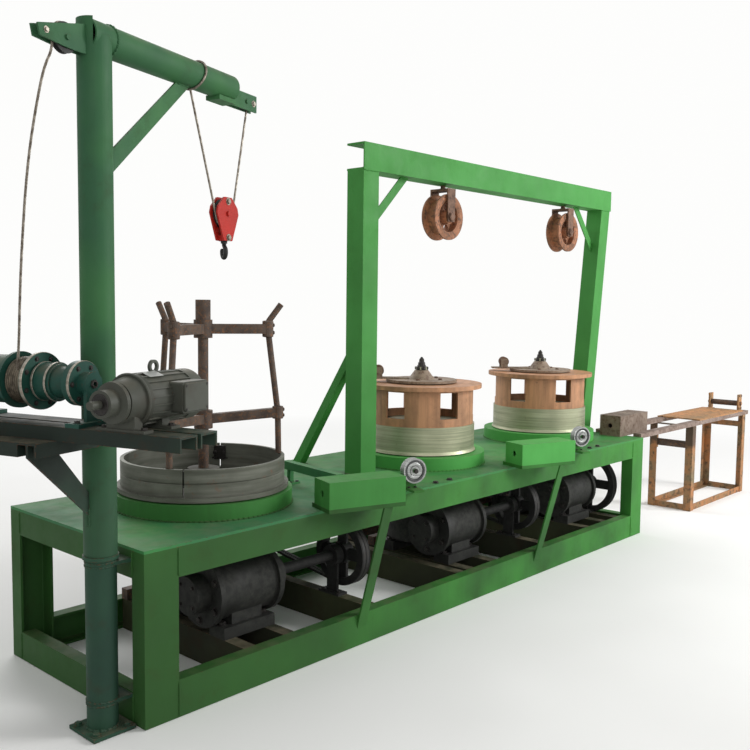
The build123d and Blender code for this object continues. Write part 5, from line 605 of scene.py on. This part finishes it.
# Outlines of turned pieces, as radii and heights
PIN_WASHER = [(0.024, 0), (0.024, 0.002)]
PIN_NUT = [(0.0141, 0.002), (0.022, 0.002), (0.022, 0.008), (0.019, 0.0095), (0.0141, 0.0095)]
FEED_NUT = [(0.0091, 0), (0.0155, 0), (0.0155, 0.008), (0.013, 0.0095), (0.0091, 0.0095)]
BRACKET_WASHER = [(0.0105, 0), (0.0105, 0.0015)]
BRACKET_NUT = [(0.0088, 0.0015), (0.0088, 0.0052), (0.0072, 0.0064)]
PULLEY_SEAL = [(0.0385, 0), (0.0465, 0), (0.0465, 0.0045), (0.0455, 0.005), (0.0395, 0.005), (0.0385, 0.0045)]
PULLEY_DISC = [(0.0205, 0), (0.0375, 0), (0.0365, 0.0022), (0.031, 0.0032), (0.0235, 0.0032),
               (0.0215, 0.0012)]
SPINDLE_WASHER = [(0.0201, 0.062), (0.0245, 0.062), (0.0245, 0.0640), (0.0201, 0.0640)]
SPINDLE_NUT = [(0.0335, 0.0635), (0.0345, 0.0655), (0.0345, 0.0765), (0.0325, 0.0785)]
SPINDLE_POINT = [(0.0215, 0.078), (0.0215, 0.084), (0.0185, 0.087), (0.0175, 0.098), (0.013, 0.103),
                 (0.0125, 0.114), (0.0095, 0.118), (0.004, 0.1262)]
MOTOR_SHAFT_RING = [(0.0125, 0), (0.030, 0), (0.028, 0.003), (0.0125, 0.003)]
MOTOR_BOSS_RING = [(0.0391, -0.004), (0.060, -0.004), (0.058, 0.006), (0.0391, 0.010)]
MOTOR_BELL_RING = [(0.072, 0), (0.078, 0), (0.0785, 0.004), (0.077, 0.008), (0.072, 0.008)]
WINCH_HUB_NUT = [(0.0081, 0), (0.014, 0), (0.0125, 0.006), (0.0081, 0.006)]
WINCH_RIMS = [(0.0755, rim(0.0578, 0.0590, 0.001, 0.008)), (0.025, rim(0.0578, 0.0590, 0.001, 0.008)),
              (-0.0735, rim(0.0655, 0.0672, 0.002, 0.010)), (0.088, rim(0.0855, 0.0870, 0.002, 0.012))]

# Rope turns on the winch drum: the layers' radii, the turns in the first, where it begins, and its pitch
WINCH_LAYERS = (0.054, 0.0605, 0.067)
WINCH_TURNS = 9
WINCH_TURNS_START = 0.1052
WINCH_PITCH = 0.0081
WINCH_LAYER_SHIFT = 0.0035

# On each side of the hook block, the arm's tip and the rear plates: out, aside, up, size and turn of a bolt
BLOCK_BOLTS = ((HOOK_REACH, 0.019, 1.733, 0.020, 10), (HOOK_REACH + 0.002, 0.019, 1.600, 0.020, 10),
               (0.846, 0.016, 2.122, 0.018, 5), (0.725, 0.016, 2.136, 0.014, 25),
               (-0.205, 0.016, 2.115, 0.014, 25))

# On each side of the crane's brace and prop: a weld's ends, out and up, and its radius
BRACE_WELD_ASIDE = 0.0045
BRACE_WELDS = (((0.0515, 1.742), (0.0515, 1.802), 0.003), ((0.395, 2.102), (0.462, 2.102), 0.003),
               ((-0.0515, 0.665), (-0.0515, 0.725), 0.0035))


def facing(point, direction, turn=0.0):
    """A place at a point whose own Z looks along direction."""
    aim = Vector(direction).to_track_quat("Z", "Y").to_matrix().to_4x4()
    return Matrix.Translation(Vector(point)) @ aim @ Matrix.Rotation(math.radians(turn), 4, "Z")


def spun(degrees):
    """A turn about Z."""
    return Matrix.Rotation(math.radians(degrees), 4, "Z")


def revolved(shape, place, outline, sides, closed):
    """A surface of revolution about a place's own Z, from radii and heights."""
    skin(shape, [[shape.verts.new(place @ Vector((radius * c, radius * s, height))) for c, s in around(sides)]
                 for radius, height in outline], closed)


def turned(shape, place, outline, sides=24):
    """A solid of revolution, or a many-sided one, with flat ends."""
    revolved(shape, place, outline, sides, False)


def hollow(shape, place, outline, sides=32):
    """A ring of revolution whose outline closes on itself."""
    revolved(shape, place, outline, sides, True)


def bolt(shape, place, size):
    """A washer and a hexagon head with a chamfered top, size across its corners."""
    washer = size * 0.68
    rise = size * 0.08
    turned(shape, place, [(washer, 0), (washer, rise)], 16)
    head = size / 2
    turned(shape, place, [(head, rise), (head, size * 0.34), (head * 0.84, size * 0.4)], 6)


def bolt_circle(shape, place, radius, count, size, first=0.0):
    """Bolts evenly round a place's own Z."""
    for turn in range(count):
        bolt(shape, place @ spun(first + turn * 360 / count) @ Matrix.Translation((radius, 0, 0)), size)


def padded_plate(shape, place, length, width, thick, corner):
    """A plate with rounded corners and a softened top, lying across a place's own Z."""
    outline = []
    for sx, sy, start in ((1, 1, 0), (-1, 1, 90), (-1, -1, 180), (1, -1, 270)):
        for step in range(CORNER_STEPS):
            a = math.radians(start + step * 90 / (CORNER_STEPS - 1))
            outline.append((sx * (length / 2 - corner) + corner * math.cos(a),
                            sy * (width / 2 - corner) + corner * math.sin(a)))
    skin(shape, [[shape.verts.new(place @ Vector((x * share, y * share, height))) for x, y in outline]
                 for share, height in ((1, 0), (1, thick * PAD_EDGE), (PAD_TOP, thick))])


def bead(shape, start, end, radius=0.0045):
    """A rippled weld along a straight line."""
    start = Vector(start)
    end = Vector(end)
    count = max(4, int((end - start).length / BEAD_STEP))
    line = [start.lerp(end, step / count) for step in range(count + 1)]
    rings = []
    for step, (point, across, other) in enumerate(frames_along(line)):
        # As uneven as if laid by hand
        swell = radius * (1.0 + 0.18 * (step % 2) + 0.12 * math.sin(step * 1.7) + 0.1 * math.sin(step * 0.61))
        if step in (0, count):
            swell = radius * 0.4
        rings.append([shape.verts.new(point + swell * (c * across + s * other))
                      for c, s in around(BEAD_SIDES)])
    skin(shape, rings)


def weld_ring(shape, place, radius, thick=0.0045, part=1.0):
    """A weld round a pipe or part of it, across a place's own Z."""
    count = int(max(12, 2 * math.pi * radius * part / WELD_RING_STEP))
    places = []
    for step in range(count + 1):
        a = 2 * math.pi * part * step / count
        places.append(place @ Vector((radius * math.cos(a), radius * math.sin(a), 0)))
    for first, second in zip(places, places[1:]):
        bead(shape, first, second, thick)


def close_piece(shape, name, body, material, smooth=False):
    """Turns gathered fittings into one piece that rides on a body."""
    bmesh.ops.recalc_face_normals(shape, faces=shape.faces)
    piece = link(name, meshed(name, shape, smooth), material)
    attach(piece, body)


def gearbox_bolts(finishes):
    """Bolts on the gearboxes: worm flanges, worm caps, feet and case lid; and on the bearing stands."""
    shape = bmesh.new()
    flange, cap, foot = 0.152, 0.212, 0.098     # out from the block's axis
    foot_top, lid_top, stand_foot_top = 0.170, 0.385, 0.136
    for x in BLOCK_XS:
        for side in (-1, 1):
            on_flange = facing((x + side * flange, *WORM), (side, 0, 0))
            bolt_circle(shape, on_flange, radius=0.105, count=6, size=0.024, first=30)
            on_cap = facing((x + side * cap, *WORM), (side, 0, 0))
            bolt_circle(shape, on_cap, radius=0.052, count=4, size=0.014, first=45)
            for y in (-0.239, 0.110):
                bolt(shape, facing((x + side * foot, y, foot_top), UP, 17), size=0.03)
        bolt_circle(shape, facing((x, 0, lid_top), UP), radius=0.132, count=8, size=0.022, first=12)
    for x in BEARING_XS:
        for y in (-0.046, 0.046):
            bolt(shape, facing((x - 0.012, WORM[0] + y, stand_foot_top), UP, 20), size=0.018)
    for x in BELT_PULLEY_XS:
        bolt_circle(shape, facing((x + 0.0235, *WORM), (1, 0, 0)), radius=0.034, count=3, size=0.011)
    close_piece(shape, "gearbox_bolts", "machine_base", finishes["bolt_dark"])


def base_welds(finishes):
    """Welds where the rails meet the corner posts, round the deck's collars and at the gantry's feet."""
    shape = bmesh.new()
    post_x, post_y = 0.13, 0.069        # from the base's ends and sides to the posts' inner edges
    proud, thin = 0.0005, 0.003
    for x in (LEFT_END + post_x, RIGHT_END - post_x):
        for low, high in ((0.004, 0.122), (0.474, 0.566)):
            for y in (FRONT - proud, BACK + proud):
                bead(shape, (x, y, low), (x, y, high), thin)
    for x in (LEFT_END, RIGHT_END):
        for y in (FRONT + post_y, BACK - post_y):
            for low, high in ((0.004, 0.102), (0.484, 0.566)):
                bead(shape, (x, y, low), (x, y, high), thin)
    for x, radius in COLLARS:
        weld_ring(shape, facing((x, 0, DECK_TOP + 0.001), UP), radius + 0.001, 0.004)
    z = DECK_TOP + 0.002
    front, back = GANTRY_Y - GANTRY_HALF, GANTRY_Y + GANTRY_HALF
    for post in GANTRY_FEET:
        for y in (front, back):
            bead(shape, (post - GANTRY_HALF, y, z), (post + GANTRY_HALF, y, z))
        for x in (post - GANTRY_HALF, post + GANTRY_HALF):
            bead(shape, (x, front, z), (x, back, z))
    close_piece(shape, "base_welds", "machine_base", finishes["frame_green"], True)


def gantry_welds(finishes):
    """Welds between the gantry's posts and beam, and round the hangers' studs."""
    shape = bmesh.new()
    y = GANTRY_Y - GANTRY_HALF
    for post in GANTRY_HEADS:
        bead(shape, (post - GANTRY_HALF, y, BEAM_BOTTOM), (post + GANTRY_HALF, y, BEAM_BOTTOM), 0.004)
    for x in SHEAVE_XS:
        weld_ring(shape, facing((x, GANTRY_Y, BEAM_BOTTOM - 0.002), (0, 0, -1)), 0.013, 0.003)
        weld_ring(shape, facing((x, GANTRY_Y, HANGER_FOOT_TOP), UP), 0.013, 0.003)
    close_piece(shape, "gantry_welds", "machine_base", finishes["gantry_green"], True)


def rusty_nuts(finishes):
    """Nuts on the pins of the hangers and the feed roller, bolts on the hangers, the cheeks and the stand."""
    shape = bmesh.new()
    for x in SHEAVE_XS:
        for side in (-1, 1):
            place = facing((x, GANTRY_Y + side * 0.056, SHEAVE_HEIGHT), (0, side, 0), 11)
            turned(shape, place, PIN_WASHER, 20)
            hollow(shape, place, PIN_NUT, 6)
        for side in (-0.021, 0.021):
            bolt(shape, facing((x + side, GANTRY_Y - 0.02, HANGER_FOOT_TOP - 0.001), UP), size=0.014)
    for y, side in ((FRONT + 0.053, -1), (FRONT + 0.277, 1)):
        hollow(shape, facing((FEED_CHEEKS_X, y, 0.652), (0, side, 0)), FEED_NUT, 6)
        for x in (-0.019, 0.019):
            for z in (0.617, 0.708):
                bolt(shape, facing((FEED_CHEEKS_X + x, y, z), (0, side, 0), 9), size=0.012)
    for y in (FRONT + 0.034, FRONT + 0.296):
        for z in (0.412, 0.468):
            bolt(shape, facing((FEED_TIE_X, y, z), (1, 0, 0), 14), size=0.014)
    close_piece(shape, "rusty_nuts", "machine_base", finishes["rust_brown"])


def deck_bolts(finishes):
    """Dark bolts along the deck's front edge, on the guide brackets' feet and the guide bar's feet."""
    shape = bmesh.new()
    for along in (1.50, 1.60, 2.86, 2.95):
        bolt(shape, facing((LEFT_END + along, FRONT + 0.028, DECK_TOP), UP, 10), size=0.022)
    for x in GUIDE_PULLEY_XS:
        bracket = Matrix.Translation((x, FRONT, DECK_TOP + 0.01)) @ GUIDE_PULLEY_TURN
        for side in (-0.015, 0.015):
            bolt(shape, bracket @ facing((side, 0.008, 0), UP), size=0.012)
        pin_end = bracket @ facing((0, -0.0251, 0.075), (0, -1, 0), 17)
        turned(shape, pin_end, BRACKET_WASHER, 20)
        turned(shape, pin_end, BRACKET_NUT, 6)
    for x, y in ((LEFT_END + 0.985, FRONT + 0.140), (LEFT_END + 1.045, FRONT + 0.470)):
        for side in (-0.02, 0.02):
            bolt(shape, facing((x + side, y - 0.02, DECK_TOP + 0.008), UP, 15), size=0.013)
    close_piece(shape, "deck_bolts", "machine_base", finishes["bolt_dark"])


def pulley_faces(finishes):
    """The dark seal ring, the raised middle and the hub screws on each guide pulley's face."""
    for number, x in enumerate(GUIDE_PULLEY_XS, 1):
        front = Matrix.Translation((x, FRONT, GUIDE_PULLEY_HEIGHT)) @ GUIDE_PULLEY_TURN
        face = front @ facing((0, -0.013, 0), (0, -1, 0))
        body = f"edge_pulley_{number}"
        shape = bmesh.new()
        hollow(shape, face, PULLEY_SEAL)
        bolt_circle(shape, face, radius=0.0148, count=5, size=0.006)
        close_piece(shape, f"pulley_seal_{number}", body, finishes["seal_dark"])
        shape = bmesh.new()
        hollow(shape, face, PULLEY_DISC)
        close_piece(shape, f"pulley_disc_{number}", body, finishes["bright_steel"], True)


def spindle_tops(finishes):
    """The dark nut and stepped point on each block's spindle, and the flyer's hub screws."""
    for number, x in enumerate(BLOCK_XS[1:], 2):
        shape = bmesh.new()
        top = facing((x, 0, SPOOL_TOP), UP)
        hollow(shape, top, SPINDLE_WASHER)
        turned(shape, top, SPINDLE_NUT, 6)
        turned(shape, top, SPINDLE_POINT, 20)
        close_piece(shape, f"spindle_top_{number}", f"block_{number}", finishes["bolt_dark"])
        shape = bmesh.new()
        hub = facing((x, 0, SPOOL_TOP + 0.017), UP)
        bolt_circle(shape, hub, radius=0.104, count=5, size=0.018, first=30)
        close_piece(shape, f"flyer_bolts_{number}", f"flyer_body_{number}",
                    finishes["rust_brown"])


def drum_fittings(finishes):
    """The keys in the drum's two slits with their bolts, and clamps where the basket's rods meet the arms."""
    shape = bmesh.new()
    centre = Matrix.Translation((BLOCK_XS[0], 0, 0))
    for angle in (-140, 40):
        spin = centre @ spun(angle)
        padded_plate(shape, spin @ facing((0.299, 0, 0.700), (1, 0, 0)), 0.070, 0.0058, 0.0135, 0.001)
        padded_plate(shape, spin @ facing((0.2995, 0, 0.725), (-1, 0, 0)), 0.05, 0.06, 0.008, 0.006)
        for y in (-0.018, 0.018):
            bolt(shape, spin @ facing((0.2915, y, 0.725), (-1, 0, 0), 8), size=0.014)
    close_piece(shape, "drum_keys", "take_up", finishes["bolt_dark"])
    shape = bmesh.new()
    for index in range(3):
        spin = centre @ spun(-31 + index * 120)
        for radius, height, size in ((0.2527, 1.257, 0.033), (0.293, 0.925, 0.026)):
            tall = 2 * size
            clamp = [(0.0121, 0), (0.0205, 0.0015), (0.022, 0.005), (0.022, tall - 0.005),
                     (0.0205, tall - 0.0015), (0.0121, tall)]
            hollow(shape, spin @ facing((radius, 0, height - size), UP), clamp, 20)
            for up in (-0.45, 0.45):
                place = (radius + 0.0215, 0, height + up * size)
                bolt(shape, spin @ facing(place, (1, 0, 0), 12), size=0.013)
        bead(shape, spin @ Vector((0.296, -0.014, 0.7635)), spin @ Vector((0.296, 0.014, 0.7635)), 0.004)
    close_piece(shape, "basket_clamps", "take_up", finishes["rust_dark"])


def hoist_motor_fittings(finishes):
    """On the crane's motor: foot bolts, bell bolts, shaft and boss rings, box lid, grille and bare plate."""
    v, z = HOIST_MOTOR_AXIS
    inward = (-1, 0, 0)
    shape = bmesh.new()
    for u in (-0.077, -0.195):
        for side in (-0.07, 0.07):
            bolt(shape, CRANE @ facing((u, v + side, PLATFORM_TOP + 0.008), UP, 13), size=0.018)
    bolt_circle(shape, CRANE @ facing((-0.240, v, z), inward), radius=0.049, count=4, size=0.011, first=45)
    hollow(shape, CRANE @ facing((-0.2905, v, z), inward), MOTOR_SHAFT_RING)
    box = CRANE @ facing((-0.010, v - 0.104, z + 0.004), (0, -1, 0))
    for x in (-0.049, 0.049):
        for y in (-0.034, 0.034):
            bolt(shape, box @ Matrix.Translation((x, y, 0.0045)), size=0.009)
    close_piece(shape, "hoist_motor_bolts", "crane", finishes["bolt_dark"])
    shape = bmesh.new()
    lid = CRANE @ facing((-0.010, v - 0.1045, z + 0.004), (0, -1, 0))
    padded_plate(shape, lid, length=0.112, width=0.082, thick=0.006, corner=0.008)
    hollow(shape, CRANE @ facing((-0.2405, v, z), inward), MOTOR_BOSS_RING)
    hollow(shape, CRANE @ facing((-0.172, v, z), inward), MOTOR_BELL_RING, 40)
    grille = CRANE @ facing((0.088, v, z), (1, 0, 0))
    for radius in (0.012, 0.024, 0.036, 0.048, 0.060):
        outer = radius + 0.004
        hollow(shape, grille, [(radius, -0.001), (outer, -0.001), (outer, 0.0025), (radius, 0.0025)])
    for turn in range(8):
        spoke = grille @ Matrix.Rotation(turn * math.pi / 4, 4, "Z") @ Matrix.Translation((0.036, 0, 0))
        padded_plate(shape, spoke, length=0.054, width=0.005, thick=0.003, corner=0.001)
    close_piece(shape, "hoist_motor_trim", "crane", finishes["motor_grey"])
    shape = bmesh.new()
    top = CRANE @ Matrix.Translation((-0.105, v, z)) @ Matrix.Rotation(math.radians(20), 4, "X")
    plate = top @ facing((0, 0, 0.0762), UP)
    padded_plate(shape, plate, length=0.062, width=0.034, thick=0.0014, corner=0.003)
    close_piece(shape, "motor_plate", "crane", finishes["plate_alloy"])


def winch_fittings(finishes):
    """On the winch: rope turns on the drum, bolts round its rings and disc, a hub nut, bright rims."""
    u, z = WINCH_AXIS
    wire_radius = ROPE_DIAMETER / 2
    shape = bmesh.new()
    for layer, radius in enumerate(WINCH_LAYERS):
        first = WINCH_TURNS_START + WINCH_LAYER_SHIFT * (layer % 2)
        for turn in range(WINCH_TURNS - layer % 2):
            place = CRANE @ facing((u, first + turn * WINCH_PITCH, z), (0, 1, 0))
            hollow(shape, place, [(radius + wire_radius * c, wire_radius * s) for c, s in around(6)], 40)
    close_piece(shape, "winch_rope_turns", "crane", finishes["greasy_rope"], True)
    shape = bmesh.new()
    bolt_circle(shape, CRANE @ facing((u, -0.073, z), (0, -1, 0)), radius=0.051, count=6, size=0.012)
    bolt_circle(shape, CRANE @ facing((u, 0.089, z), (0, -1, 0)), radius=0.071, count=8, size=0.012, first=20)
    bolt_circle(shape, CRANE @ facing((u, 0.413, z), (0, 1, 0)), radius=0.058, count=6, size=0.014)
    hollow(shape, CRANE @ facing((u, -0.1072, z), (0, -1, 0), 9), WINCH_HUB_NUT, 6)
    for across in (-0.062, 0.062):
        bolt(shape, CRANE @ facing((u + across, -0.101, PLATFORM_TOP + 0.012), UP, 21), size=0.016)
    close_piece(shape, "winch_bolts", "crane", finishes["bolt_dark"])
    shape = bmesh.new()
    for start, outline in WINCH_RIMS:
        hollow(shape, CRANE @ facing((u, start, z), (0, 1, 0)), outline, 40)
    close_piece(shape, "winch_bright_rims", "crane", finishes["worn_rim"])


def crane_welds(finishes):
    """Welds on the crane: arm, brace, prop and platform; on its fixed post: foot, brackets and foot bolts."""
    shape = bmesh.new()
    weld_ring(shape, CRANE @ facing((0.053, 0, 2.15), (1, 0, 0), 90), 0.0485, 0.004, 0.5)
    for aside in (-BRACE_WELD_ASIDE, BRACE_WELD_ASIDE):
        for (out, up), (far_out, far_up), radius in BRACE_WELDS:
            bead(shape, CRANE @ Vector((out, aside, up)), CRANE @ Vector((far_out, aside, far_up)), radius)
    weld_ring(shape, CRANE @ facing((0, 0, 0.957), UP), 0.0525, 0.0035)
    close_piece(shape, "crane_welds", "crane", finishes["crane_green"], True)
    shape = bmesh.new()
    post = Matrix.Translation(CRANE_COLUMN)
    for z, thick in ((0.013, 0.005), (0.09, 0.003), (0.102, 0.003), (0.535, 0.003), (0.547, 0.003)):
        weld_ring(shape, post @ facing((0, 0, z), UP), 0.0495, thick)
    for x in (-0.055, 0.055):
        for y in (-0.055, 0.055):
            bolt(shape, post @ facing((x, y, 0.012), UP, 14), size=0.024)
    close_piece(shape, "crane_post_welds", "machine_base", finishes["dark_teal"])


def hook_fittings(finishes):
    """Bolt heads on the hook block's plates, on the arm's tip and on the rear plates."""
    shape = bmesh.new()
    for side in (-1, 1):
        for out, aside, up, size, turn in BLOCK_BOLTS:
            bolt(shape, CRANE @ facing((out, side * aside, up), (0, side, 0), turn), size)
    close_piece(shape, "block_bolts", "crane", finishes["worn_rim"])


MAKERS = (gearbox_bolts, base_welds, gantry_welds, rusty_nuts, deck_bolts, pulley_faces, spindle_tops,
          drum_fittings, hoist_motor_fittings, winch_fittings, crane_welds, hook_fittings)


# Floor, backdrop and light

SKY_LEVEL = 0.5
WHITE = (0.985, 0.985, 0.975, 1.0)
FLOOR_TONE = (0.86, 0.855, 0.84, 1.0)
FLOOR_HALF = 60
FLOOR_CELLS = 8
FLOOR_DROP = 0.002
FLOOR_FADE = (2.6, 6.5)     # from where to where the floor turns white, from the middle

# Each lamp: its place, what it looks at, its side and its power in watts
LAMPS = {
    "key": ((4.2, -5.0, 3.6), (0.9, 0, 0.7), 2.6, 350),
    "fill": ((-5.0, -4.5, 3.0), (-1.2, 0, 1.2), 3.0, 62),
    "back": ((1.0, 4.5, 4.5), (0.0, 0, 0.8), 3.0, 110),
}


def make_floor():
    """A wide pale floor that keeps the machine's shadow and runs out into the white far away."""
    shape = bmesh.new()
    bmesh.ops.create_grid(shape, x_segments=FLOOR_CELLS, y_segments=FLOOR_CELLS, size=FLOOR_HALF)
    finish = Finish("floor_pale", roughness=0.9)
    material = finish.done(finish.mix(finish.noise(0.6, 3), FLOOR_TONE, WHITE))
    tree = finish.tree
    distance = tree.nodes.new("ShaderNodeVectorMath")
    distance.operation = "LENGTH"
    tree.links.new(finish.place, distance.inputs[0])
    far = finish.between(distance.outputs["Value"], *FLOOR_FADE)
    far = finish.math("MULTIPLY", far, tree.nodes.new("ShaderNodeLightPath").outputs["Is Camera Ray"])
    glow = tree.nodes.new("ShaderNodeEmission")
    glow.inputs["Color"].default_value = WHITE
    joined = tree.nodes.new("ShaderNodeMixShader")
    tree.links.new(far, joined.inputs[0])
    tree.links.new(finish.shader.outputs[0], joined.inputs[1])
    tree.links.new(glow.outputs[0], joined.inputs[2])
    tree.links.new(joined.outputs[0], tree.nodes["Material Output"].inputs["Surface"])
    floor = link("floor", meshed("floor", shape), material)
    floor.location = (0, 0, -FLOOR_DROP)


def make_world():
    """A pale surround that is white where it is seen and dimmer as a light."""
    world = bpy.data.worlds.new("studio")
    world.use_nodes = True
    tree = world.node_tree
    surround = tree.nodes["Background"]
    surround.inputs["Color"].default_value = WHITE
    path = tree.nodes.new("ShaderNodeLightPath")
    seen = path.outputs["Is Camera Ray"]
    for name in ("Is Glossy Ray", "Is Transmission Ray"):
        either = tree.nodes.new("ShaderNodeMath")
        either.operation = "MAXIMUM"
        tree.links.new(seen, either.inputs[0])
        tree.links.new(path.outputs[name], either.inputs[1])
        seen = either.outputs[0]
    level = tree.nodes.new("ShaderNodeMapRange")
    level.inputs["To Min"].default_value = SKY_LEVEL
    level.inputs["To Max"].default_value = 1.0
    tree.links.new(seen, level.inputs["Value"])
    tree.links.new(level.outputs["Result"], surround.inputs["Strength"])
    bpy.context.scene.world = world


def make_lamp(name, place, target, size, power):
    """A soft square lamp aimed at a point."""
    data = bpy.data.lights.new(name, "AREA")
    data.size = size
    data.energy = power
    lamp = link(name, data)
    aim = Vector(target) - Vector(place)
    lamp.rotation_euler = aim.to_track_quat("-Z", "Y").to_euler()
    lamp.location = place


def main():
    """Makes the whole scene."""
    make_camera()
    finishes = make_finishes()
    make_back_rope(finishes["wire_rope"])
    dress_nodes(finishes)
    for make in MAKERS:
        make(finishes)
    make_floor()
    make_world()
    for name, (place, target, size, power) in LAMPS.items():
        make_lamp(name, place, target, size, power)
    bpy.context.scene.view_settings.view_transform = "Standard"


main()
